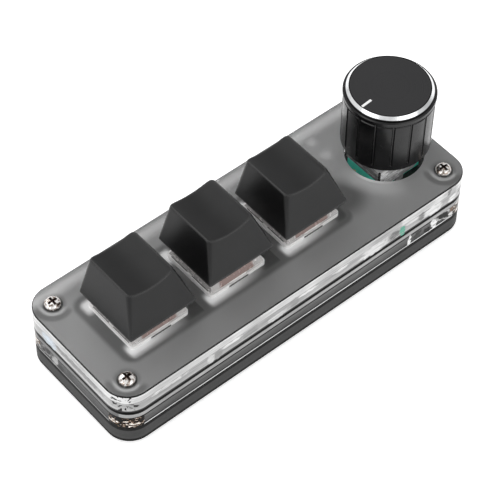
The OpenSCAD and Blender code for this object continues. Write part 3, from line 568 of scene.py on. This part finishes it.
def key_row_painted_shade(paint):
    """Painted shade around the keys, deeper on the right of each key and to the right of the last
    one.
    """
    x, y = paint.axes()[:2]
    u, v, away, inside = paint.key_place()
    middle, half = (KEY_X[0] + KEY_X[2]) / 2, (KEY_X[2] - KEY_X[0]) / 2 + FLANGE
    beyond = paint.outside(paint.less(x, middle), half, y, FLANGE)[2]
    row_shade = paint.times(paint.fade(beyond, *KEY_SHADE_AWAY), KEY_SHADE_DARK)
    gap = paint.times(paint.fade(beyond, *GAP_AWAY), paint.fade(u, *GAP_U), inside, GAP_DARK)
    last = paint.times(paint.near([LAST_GAP], *LAST_GAP_AWAY), LAST_GAP_DARK)
    return paint.most(row_shade, gap, last)


def key_glow(paint):
    """Light of the white housings in front of each flange and at its back left corner."""
    u, v, away, inside = paint.key_place()
    halo = paint.times(
        paint.fade(v, *HALO_V), paint.fade(away, *HALO_AWAY),
        paint.fade(u, *HALO_RIGHT), paint.fade(u, *HALO_LEFT), inside, HALO_LIGHT)
    strip = paint.times(
        paint.fade(away, *STRIP_AWAY), paint.fade(v, *STRIP_V), paint.fade(u, *STRIP_U),
        inside, STRIP_LIGHT)
    return paint.most(halo, strip)


def screw_shade(paint):
    """Painted shade in rings around the screws, and a painted dark arc and a painted highlight on
    their side towards the viewer.
    """
    x, y = paint.axes()[:2]
    dark, light = [], []
    for screw in SCREWS:
        away = paint.radius(screw)
        side = paint.fade(paint.less(paint.math("ADD", x, y), screw.x + screw.y), *SCREW_SIDE)
        dark.append(paint.fade(away, *RING_AWAY))
        dark.append(paint.times(paint.fade(away, *SOFT_RING_AWAY), SOFT_RING_DARK))
        dark.append(paint.times(
            paint.fade(away, *ARC_OUT), paint.fade(away, *ARC_IN), side, ARC_DARK))
        light.append(paint.times(
            paint.fade(away, *SHINE_OUT), paint.fade(away, *SHINE_IN), side, SHINE_LIGHT))
    return paint.most(*dark), paint.most(*light)


def knob_glow(paint):
    """Light of the encoder's bright cover on the plate in front of the knob's hole."""
    x, y = paint.axes()[:2]
    away = paint.radius(KNOB_AXIS)
    wide = paint.times(paint.fade(away, *KNOB_AWAY), KNOB_LIGHT)
    ring = paint.times(paint.fade(away, *HOLE_AWAY), HOLE_LIGHT)
    return paint.times(paint.most(wide, ring), paint.fade(y, *KNOB_Y), paint.fade(x, *KNOB_X))


def frost_shade(paint):
    """All painted shade and painted light of the frosted face, as two masks."""
    y = paint.axes()[1]
    ring_dark, ring_light = screw_shade(paint)
    dark = paint.most(key_row_painted_shade(paint), ring_dark)
    band = paint.times(paint.fade(y, *BAND_FRONT), paint.fade(y, *BAND_BACK), BAND_LIGHT)
    spots = paint.times(paint.near(SPOTS, *SPOT_AWAY), SPOT_LIGHT)
    light = paint.most(key_glow(paint), ring_light, band, spots, knob_glow(paint))
    return paint.times(dark, paint.rest(light)), light


def frost_tone(paint, dark, light, rim):
    """Grey of the frosted face, with painted shade and painted light mixed in: lighter to the back
    and the ends by painted light, dark along its rim.
    """
    x, y = paint.axes()[:2]
    front = paint.lerp(paint.fade(paint.size(x), *TONE_X), TONE_ENDS, TONE_MIDDLE)
    drift = paint.lerp(paint.fade(y, *TONE_Y), TONE_BACK, front)
    tone = paint.times(paint.lerp(dark, FROST_GREY, FROST_GREY * DARK_SHARE), drift)
    tone = paint.lerp(rim, paint.lerp(light, tone, LIGHT_TONE), RIM_TONE)
    return paint.node("ShaderNodeCombineColor", Red=tone, Green=tone, Blue=tone).outputs[0]


def frosted_acrylic():
    """Clear acrylic with a frosted upper face and a cut edge that gathers light, both with painted
    light and shade; the face glows where the painted light falls.
    """
    paint = Paint("frosted_acrylic")
    x, y, height = paint.axes()
    faces_up = paint.ramp(paint.axes("Normal")[2], 0.0, 1.0, (0.9, 0.99))
    at_top = paint.ramp(height, 0.0, 1.0, (PLATE_Z - 0.5 * MM, PLATE_Z - 0.4 * MM))
    frost = paint.times(faces_up, at_top)
    dark, light = frost_shade(paint)
    wall, corner, rim = paint.wall()
    wall = paint.times(wall, paint.rest(faces_up))
    inside = paint.mix(frost, (0.98, 0.985, 0.985), frost_tone(paint, dark, light, rim))
    edge = paint.bands(height, PLATE_WALL)
    wobble = paint.ramp(paint.noise(700, 3, (1, 1, 2)), -0.8, 0.8)
    on_long, straight = paint.long_sides(), paint.rest(corner)
    on_short = paint.rest(on_long)
    edge = paint.marks(edge, x, height, LONG_MARKS, wobble, paint.times(on_long, straight))
    edge = paint.marks(edge, y, height, SHORT_MARKS, wobble, paint.times(on_short, straight))
    edge = paint.mix(spokes(paint, corner), edge, (0.0, 0.0, 0.0))
    edge = paint.tint(edge, wall_streaks(paint))
    paint.join(paint.mix(wall, inside, edge), "Base Color")
    paint.join(paint.lerp(frost, 0.06, FROST_ROUGHNESS), "Roughness")
    clear = paint.lerp(frost, 1.0, paint.lerp(light, FROST_CLEARNESS, 0.25))
    above_seam = paint.rest(paint.fade(height, 12.4, 12.5))
    lower = paint.lerp(paint.fade(height, 15.1, 15.4), 1.0, 0.35)
    edge_clear = paint.times(wall_clearness(paint, corner, 0.15), lower, above_seam)
    paint.join(paint.times(clear, paint.lerp(wall, 1.0, edge_clear)), "Transmission Weight")
    # Painted glow: the face gives off light where the painted light falls, though it is no lamp
    paint.set("Emission Color", (1, 1, 1, 1))
    paint.join(paint.times(frost, light, PAINTED_GLOW), "Emission Strength")
    paint.set("IOR", ACRYLIC_IOR)
    paint.set("Specular IOR Level", 0.15)
    paint.bump(paint.noise(5000, 2), 0.002 * MM, 0.4)
    return paint.material


def corner_glitter(paint, corner):
    """Glints of the screws and their brass inserts in the frame's corners, and their mask."""
    z = paint.axes()[2]
    colour = paint.stops(paint.noise(480, 3, (1, 1, 2.6), 0.75), GLINTS)
    low, high = paint.fade(z, 6.3, 6.2), paint.fade(z, 9.8, 9.9)
    return colour, paint.times(paint.ramp(corner, 0.0, 1.0, (0.0, 0.3)), high, low)


def clear_acrylic():
    """Clear cut acrylic, with dark lines at its joints, partly painted shade, and painted light: a
    bright line and marks of what lies behind its wall.
    """
    paint = Paint("clear_acrylic")
    x, y, height = paint.axes()
    wall, corner = paint.wall()[:2]
    glints, at_glints = corner_glitter(paint, corner)
    wobble = paint.ramp(paint.noise(900, 3), -1.3, 1.3)
    on_long = paint.long_sides()
    back = paint.lerp(on_long, paint.less(CORNER_Y, y), paint.less(CORNER_X, x))
    open_part = paint.times(
        paint.fade(height, 9.8, 9.9), paint.fade(height, 6.5, 6.4), paint.rest(at_glints))
    edge = paint.bands(height, FRAME_WALL)
    edge = paint.marks(edge, back, height, FRAME_MARKS, wobble, open_part)
    on_long_open = paint.times(open_part, on_long)
    edge = paint.marks(edge, back, height, LONG_FRAME_MARKS, wobble, on_long_open)
    edge = paint.tint(edge, paint.times(wall_streaks(paint), paint.lerp(on_long, 0.42, 1.0)))
    edge = paint.mix(at_glints, edge, glints)
    paint.join(paint.mix(wall, (0.95, 0.97, 0.97), edge), "Base Color")
    paint.set("Roughness", 0.05)
    see = paint.times(wall_clearness(paint, corner, 0.4), paint.fade(height, 11.0, 11.1), 0.35)
    clear = paint.lerp(wall, 1.0, paint.lerp(at_glints, see, 0.06))
    paint.join(clear, "Transmission Weight")
    paint.set("IOR", ACRYLIC_IOR)
    paint.set("Specular IOR Level", 0.05)
    paint.bump(paint.noise(300, 2, (1, 1, 6)), 0.02 * MM, 0.3)
    return paint.material


# Base wall, by height in mm and tone: dark along its two edges, painted shade along the lower one
# in place of the shadow beneath it
BASE_LOW = base_low.z / MM
BASE_WALL = (
    (BASE_LOW - 0.1, 0.0), (BASE_LOW + 0.9, 0.0), (BASE_LOW + 1.0, 0.046), (2.5, 0.051),
    (3.0, 0.043), (4.95, 0.046), (5.1, 0.0), (6.1, 0.0),
)


def base_plastic():
    """Matte black base, darker along its two edges, with painted shade along the lower one."""
    paint = Paint("base_plastic")
    grain = paint.noise(2800, 2)
    drift = paint.ramp(paint.noise(140, 3), 0.9, 1.1)
    paint.join(paint.tint(paint.bands(paint.axes()[2], BASE_WALL), drift), "Base Color")
    paint.join(paint.ramp(grain, 0.55, 0.68), "Roughness")
    paint.set("Specular IOR Level", 0.15)
    paint.bump(grain, 0.012 * MM)
    return paint.material


def clear_moulding(name, edge, middle, rough):
    """Half clear moulded plastic of a switch's upper housing, darker in its middle: partly the
    stem's colour, partly painted shade under the keycap.
    """
    paint = Paint(name)
    u = paint.key_place()[0]
    paint.join(paint.ramp(paint.noise(700, 2), rough * 0.8, rough * 1.2), "Roughness")
    paint.set("Transmission Weight", 0.4)
    paint.join(paint.mix(paint.fade(paint.size(u), 4.4, 5.2), edge, middle), "Base Color")
    paint.set("IOR", 1.5)
    return paint.material


def switch_white():
    """White housing, with dark lines of painted shade in the gaps where its latches and steps sit
    along the flange.
    """
    paint = Paint("switch_white")
    u, v = paint.key_place()[:2]
    height = paint.axes()[2]
    side, depth = paint.size(u), paint.size(v)
    low = paint.times(paint.fade(height, 18.2, 18.25), paint.fade(height, 17.6, 17.5))
    latch = paint.times(paint.fade(v, -7.85, -7.75), paint.fade(side, 2.7, 2.8), low)
    step = paint.times(
        paint.fade(side, 7.62, 7.66), paint.fade(side, 7.42, 7.38),
        paint.fade(depth, 0.8, 0.7), paint.fade(depth, 6.3, 6.4),
        paint.fade(height, 18.6, 18.5))
    tone = paint.ramp(paint.noise(700, 2), (0.84, 0.83, 0.82), (0.92, 0.91, 0.9))
    paint.join(paint.mix(paint.most(latch, step), tone, (0.03, 0.025, 0.025)), "Base Color")
    paint.set("Roughness", 0.4)
    paint.bump(paint.noise(3000, 2), 0.003 * MM)
    return paint.material


# Width of the bright bevelled ring around the knob's face, in mm
KNOB_RING = 0.8


def knob_metal():
    """Turned cap: dark face with circular scratches, and a bright bevelled ring around it."""
    paint = Paint("knob_metal")
    away = paint.radius(KNOB_AXIS)
    face_r = KNOB_R - KNOB_RING * MM
    on_ring = paint.ramp(away, 0.0, 1.0, (face_r + 0.02 * MM, face_r + 0.06 * MM))
    groove = paint.ramp(away, 0.0, 1.0, (face_r - 0.25 * MM, face_r - 0.15 * MM))
    outer = paint.ramp(away, 0.0, 1.0, (KNOB_R - 0.2 * MM, KNOB_R - 0.12 * MM))
    turned = paint.node("ShaderNodeCombineXYZ", X=away).outputs[0]
    lines = paint.node("ShaderNodeTexNoise", Vector=turned, Scale=9000.0, Detail=2.0)
    lines = lines.outputs["Fac"]
    face = paint.ramp(lines, (0.04, 0.04, 0.041), (0.068, 0.068, 0.07))
    face = paint.mix(groove, face, (0.01, 0.01, 0.01))
    ring = paint.ramp(paint.noise(260, 2), (0.6, 0.61, 0.62), (0.9, 0.91, 0.92), (0.35, 0.6))
    ring = paint.mix(outer, ring, (0.02, 0.02, 0.02))
    paint.join(paint.mix(on_ring, face, ring), "Base Color")
    paint.set("Metallic", 1.0)
    paint.join(paint.ramp(on_ring, 0.36, 0.2, (0, 1)), "Roughness")
    tangent = paint.tree.nodes.new("ShaderNodeTangent")
    tangent.direction_type = "RADIAL"
    tangent.axis = "Z"
    paint.join(tangent.outputs[0], "Tangent")
    paint.set("Anisotropic", 0.12)
    paint.bump(lines, 0.004 * MM)
    return paint.material


def tinned_steel():
    """Bright tinned sheet: its two pairs of sides differ in tone by painted light and shade, those
    facing along X darker, and its bends are dark lines.
    """
    paint = Paint("encoder_steel")
    low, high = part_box("encoder_cover")
    x, y = paint.axes()[:2]
    faces_x = paint.ramp(paint.size(paint.axes("Normal")[0]), 0.0, 1.0, (0.5, 0.6))
    past = paint.math("MINIMUM", paint.less(x, low.x), paint.less(high.x, x))
    deep = paint.math("MINIMUM", paint.less(y, low.y), paint.less(high.y, y))
    bend = paint.fade(paint.most(past, deep), 0.35, 0.5)
    tarnish = paint.noise(300, 3, (1, 1, 3))
    # Painted light and shade: the sides facing along Y lit and bright, those facing along X shaded
    # and dull
    bright = paint.ramp(tarnish, grey(0.62), grey(1.0), (0.42, 0.55))
    dull = paint.ramp(tarnish, grey(0.16), grey(0.5))
    sides = paint.mix(faces_x, bright, dull)
    paint.join(paint.mix(bend, sides, (0.02, 0.02, 0.02)), "Base Color")
    paint.set("Metallic", 0.35)
    paint.join(paint.ramp(tarnish, 0.2, 0.32), "Roughness")
    paint.bump(paint.noise(3000, 2), 0.002 * MM)
    return paint.material


def screw_steel():
    """Bright steel with painted glints, and painted shade dark down in the cross recess."""
    paint = Paint("screw_steel")
    x, y, z = paint.axes()
    across = paint.less(paint.size(x), SCREW_X)
    along = paint.less(paint.size(y), SCREW_Y)
    inner = paint.ramp(paint.length(across, along), 1.0, 0.0, (1.15 * MM, 1.35 * MM))
    deep = paint.ramp(z, 1.0, 0.0, (screws_high.z - 0.6 * MM, screws_high.z - 0.35 * MM))
    above = paint.ramp(z, 0.0, 1.0, (PLATE_Z, PLATE_Z + 0.1 * MM))
    # Painted shade down in the cross recess
    recess = paint.times(inner, deep, above)
    tumbled_glints = paint.noise(1500, 3)
    # Painted glints: the steel's tone swings in small patches from dark brown to near white
    steel = paint.ramp(tumbled_glints, (0.3, 0.24, 0.2), (0.97, 0.95, 0.93), (0.4, 0.56))
    paint.join(paint.mix(recess, steel, (0.05, 0.035, 0.03)), "Base Color")
    paint.set("Metallic", 1.0)
    paint.join(paint.ramp(tumbled_glints, 0.16, 0.32), "Roughness")
    paint.bump(tumbled_glints, 0.015 * MM)
    return paint.material


def board():
    """Black circuit board with faint raised tracks."""
    paint = Paint("board")
    cells = paint.node("ShaderNodeTexVoronoi", Vector=paint.place())
    cells.feature = "DISTANCE_TO_EDGE"
    cells.inputs["Scale"].default_value = 330
    track = paint.ramp(cells.outputs["Distance"], 1.0, 0.0, (0.06, 0.1))
    paint.join(paint.mix(track, (0.012, 0.013, 0.013), (0.03, 0.034, 0.032)), "Base Color")
    paint.join(paint.ramp(track, 0.4, 0.28, (0, 1)), "Roughness")
    paint.bump(track, 0.02 * MM)
    return paint.material


# Spacing of the small soldered parts
PART_PITCH = 7 * MM


def soldered_parts():
    """Small parts with tinned ends."""
    paint = Paint("small_parts")
    shifted = paint.math("ADD", paint.axes()[0], 20.5 * PART_PITCH)
    aside = paint.less(paint.math("MODULO", shifted, PART_PITCH), PART_PITCH / 2)
    ends = paint.ramp(paint.size(aside), 0.0, 1.0, (0.6 * MM, 0.65 * MM))
    body = paint.ramp(paint.noise(500), (0.3, 0.22, 0.15), (0.45, 0.36, 0.27))
    paint.join(paint.mix(ends, body, (0.75, 0.75, 0.74)), "Base Color")
    paint.join(ends, "Metallic")
    paint.set("Roughness", 0.35)
    return paint.material


def make_materials():
    """One material for each slot of the record."""
    return {
        "frosted_acrylic": frosted_acrylic(),
        "clear_acrylic": clear_acrylic(),
        "base_plastic": base_plastic(),
        "screw_steel": screw_steel(),
        "insert_brass": metal("insert_brass", (0.7, 0.5, 0.2), (0.85, 0.65, 0.3), 0.3),
        "foot_rubber": moulded(
            "foot_rubber", grey(0.02), grey(0.03), 0.75, grain_mm=0.2, bump_mm=0.02),
        "board": board(),
        "socket_steel": metal("socket_steel", (0.62, 0.62, 0.64), (0.75, 0.75, 0.77), 0.28),
        "black_moulding": moulded("black_moulding", grey(0.02), grey(0.03), 0.5),
        "small_parts": soldered_parts(),
        "lamp_white": moulded("lamp_white", (0.85, 0.85, 0.78), (0.92, 0.92, 0.86), 0.3),
        "switch_white": switch_white(),
        "switch_clear": clear_moulding(
            "switch_clear", (0.85, 0.82, 0.81), (0.5, 0.36, 0.33), 0.25),
        "stem_red": moulded("stem_red", (0.42, 0.07, 0.05), (0.5, 0.1, 0.08), 0.4),
        "spring_steel": metal("spring_steel", (0.6, 0.58, 0.52), (0.75, 0.72, 0.65), 0.3),
        "contact_metal": metal("contact_metal", (0.75, 0.5, 0.25), (0.85, 0.6, 0.35), 0.3),
        # The keycaps get a painted highlight along their edges
        "cap_plastic": moulded(
            "cap_plastic", (0.003, 0.003, 0.0032), (0.006, 0.006, 0.0064), 0.36,
            grain_mm=0.25, bump_mm=0.008, specular=0.34, soften=0.5, edges=grey(0.05)),
        "encoder_green": moulded("encoder_green", (0.08, 0.8, 0.6), (0.12, 0.9, 0.7), 0.4),
        "encoder_steel": tinned_steel(),
        "rotor_plastic": moulded("rotor_plastic", (0.75, 0.75, 0.7), (0.82, 0.82, 0.78), 0.45),
        "knob_plastic": moulded(
            "knob_plastic", (0.002, 0.002, 0.0023), (0.004, 0.004, 0.0044), 0.22,
            grain_mm=0.8, bump_mm=0.0012, specular=0.35),
        "knob_metal": knob_metal(),
        "pointer_paint": moulded("pointer_paint", grey(0.85), grey(0.9), 0.5),
    }


def dress_cad_nodes(materials):
    """Gives each carried-over CAD node its material."""
    for name, node in frame["nodes"].items():
        node.data.materials.clear()
        node.data.materials.append(materials[SLOTS[name]])


# Points closer than this are joined; edges sharper than this, in degrees, stay crisp
JOIN = 0.0005 * MM
CRISP = 32
CRISP_GROOVES = 12


def add_piece(piece_name, mesh, node, materials, angle, top_rides):
    """Own piece in place of a node: on its body, or with its place baked in and left unattached if
    a body for its top is given.
    """
    slot = SLOTS[node]
    piece = bpy.data.objects.new(piece_name, mesh)
    bpy.context.collection.objects.link(piece)
    mesh.materials.clear()
    mesh.materials.append(materials[slot])
    mesh.polygons.foreach_set("use_smooth", [True] * len(mesh.polygons))
    mesh.set_sharp_from_angle(angle=math.radians(angle))
    weigh = piece.modifiers.new("even_shading", "WEIGHTED_NORMAL")
    weigh.keep_sharp = True
    if top_rides:
        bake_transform(piece)
    else:
        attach(piece, BODIES[node])
    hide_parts(node)


def copy_of(node, materials, move=None, refine=None, angle=CRISP, top_rides=None):
    """Piece from a node's own mesh, with joined corners, moved points and added detail.

    The node's stored normals no longer fit once its corners are joined, so they go and are
    worked out again.
    """
    mesh = frame["nodes"][node].data.copy()
    mesh.attributes.remove(mesh.attributes["custom_normal"])
    shape = bmesh.new()
    shape.from_mesh(mesh)
    bmesh.ops.remove_doubles(shape, verts=shape.verts, dist=JOIN)
    if move:
        for point in shape.verts:
            move(point.co)
    bmesh.ops.dissolve_degenerate(shape, edges=shape.edges, dist=JOIN)
    if refine:
        refine(shape)
    shape.to_mesh(mesh)
    shape.free()
    mesh.name = node + "_look"
    add_piece(node + "_look", mesh, node, materials, angle, top_rides)


# Threads: steps in a turn, sizes as shares of a radius, pitches, and where they start and end
THREAD_STEPS = 20
THREAD_SINK = 0.97
SCREW_ROOT = 0.8
SCREW_PITCH = 0.4 * MM
SCREW_NECK = PLATE_Z - 0.6 * MM
SCREW_POINT = 0.3 * MM
BUSHING_ROOT = 0.985
BUSHING_CREST = 1.03
BUSHING_PITCH = 0.75 * MM
BUSHING_FOOT = 1.2 * MM
BUSHING_TOP = 0.4 * MM
BUSHING_BAND = 0.8 * MM


def add_thread(shape, centre, root, crest, low, high, pitch):
    """Helical ridge with a three-cornered section around an upright line, faded at both ends."""
    count = int((high - low - pitch) / pitch * THREAD_STEPS)
    last = None
    for k in range(count + 1):
        angle = 2 * math.pi * k / THREAD_STEPS
        lift = low + pitch * k / THREAD_STEPS
        tip = root + (crest - root) * min(1.0, k / THREAD_STEPS, (count - k) / THREAD_STEPS)
        foot = root * THREAD_SINK
        row = [
            shape.verts.new((
                centre.x + r * math.cos(angle), centre.y + r * math.sin(angle), lift + up * pitch))
            for r, up in ((foot, 0.05), (tip, 0.5), (foot, 0.95))
        ]
        if last:
            for a, b in ((0, 1), (1, 2), (2, 0)):
                shape.faces.new((last[a], row[a], row[b], last[b]))
        else:
            shape.faces.new(row)
        last = row
    shape.faces.new(last[::-1])


def screw_centres(shape):
    """Middle of each screw, from the points in each quarter."""
    centres = []
    for side_x in (-1, 1):
        for side_y in (-1, 1):
            points = [v.co for v in shape.verts if v.co.x * side_x > 0 and v.co.y * side_y > 0]
            low = [min(p[k] for p in points) for k in range(3)]
            high = [max(p[k] for p in points) for k in range(3)]
            centres.append(Vector([(a + b) / 2 for a, b in zip(low, high)]))
    return centres


def thread_screws(shape):
    """Slims each screw's shank to its thread's root and winds the thread on it."""
    centres = screw_centres(shape)
    tip = min(point.co.z for point in shape.verts)
    outer = 0.0
    for point in shape.verts:
        if point.co.z < SCREW_NECK:
            centre = min(centres, key=lambda c: (c.xy - point.co.xy).length)
            away = point.co.xy - centre.xy
            outer = max(outer, away.length)
            point.co.xy = centre.xy + away * SCREW_ROOT
    for centre in centres:
        add_thread(
            shape, centre, outer * SCREW_ROOT, outer, tip + SCREW_POINT, SCREW_NECK, SCREW_PITCH)


def thread_bushing(shape):
    """Fine thread on the encoder's bushing, its radius taken from a band below the top."""
    low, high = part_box("encoder_bushing")
    upper = [v.co.xy - KNOB_AXIS.xy for v in shape.verts if v.co.z > high.z - BUSHING_BAND]
    radius = max(away.length for away in upper)
    add_thread(
        shape, KNOB_AXIS, radius * BUSHING_ROOT, radius * BUSHING_CREST,
        low.z + BUSHING_FOOT, high.z - BUSHING_TOP, BUSHING_PITCH)


# Keycap: the rounding of its upper edges, which lie within a depth of its top and are sharper
# than an angle
CAP_ROUND = 0.4 * MM
CAP_EDGE_DEPTH = 1.6 * MM
CAP_EDGE_ANGLE = math.radians(26)


def round_cap(shape):
    """Rounds the edge between a keycap's sides and its dished top."""
    top = max(point.co.z for point in shape.verts)
    edges = [
        edge for edge in shape.edges
        if min(point.co.z for point in edge.verts) > top - CAP_EDGE_DEPTH
        and len(edge.link_faces) == 2 and edge.calc_face_angle(0.0) > CAP_EDGE_ANGLE
    ]
    bmesh.ops.bevel(
        shape, geom=edges, offset=CAP_ROUND, segments=3, profile=0.5,
        affect="EDGES", clamp_overlap=True,
    )


# Air between the layers, and how far from a face its points may lie
LAYER_GAP = 0.03 * MM
ON_FACE = 0.02 * MM

# Lower bevel of the base: a band that its points lie in, and the share of its height that stays
BEVEL_BAND = 0.6 * MM
BEVEL_SHARE = 0.2


def sink_base(co):
    """Slims the bevel along the base's lower edge, and the recesses that the feet fill."""
    if base_low.z < co.z < base_low.z + BEVEL_BAND:
        co.z = base_low.z + (co.z - base_low.z) * BEVEL_SHARE


def lift_plate(co):
    """Leaves a film of air below the plate, and between the plate and the board."""
    if abs(co.z - plate_low.z) < ON_FACE:
        co.z += LAYER_GAP
    if abs(co.z - board_high.z) < ON_FACE:
        co.z += LAYER_GAP


def thin_frame(co):
    """Leaves a film of air above and below the clear frame."""
    if abs(co.z - mid_high.z) < ON_FACE:
        co.z -= LAYER_GAP
    if abs(co.z - mid_low.z) < ON_FACE:
        co.z += LAYER_GAP


make_camera()
materials = make_materials()
make_stage()
dress_cad_nodes(materials)
copy_of("top_plate", materials, lift_plate)
copy_of("mid_frame", materials, thin_frame)
copy_of("case_screws", materials, refine=thread_screws)
copy_of("encoder_bushing", materials, refine=thread_bushing)
for key in (1, 2, 3):
    copy_of("keycap_%d" % key, materials, refine=round_cap)
    for name in ("switch_base", "switch_top", "switch_stem"):
        copy_of("%s_%d" % (name, key), materials)
    copy_of("switch_spring_%d" % key, materials, top_rides="key_%d" % key)
copy_of("base_shell", materials, sink_base)
copy_of("knob_body", materials, angle=CRISP_GROOVES)
for name in (
    "knob_cap", "encoder_cover", "encoder_base", "encoder_shaft",
    "threaded_inserts", "usb_shell", "rubber_feet",
):
    copy_of(name, materials)
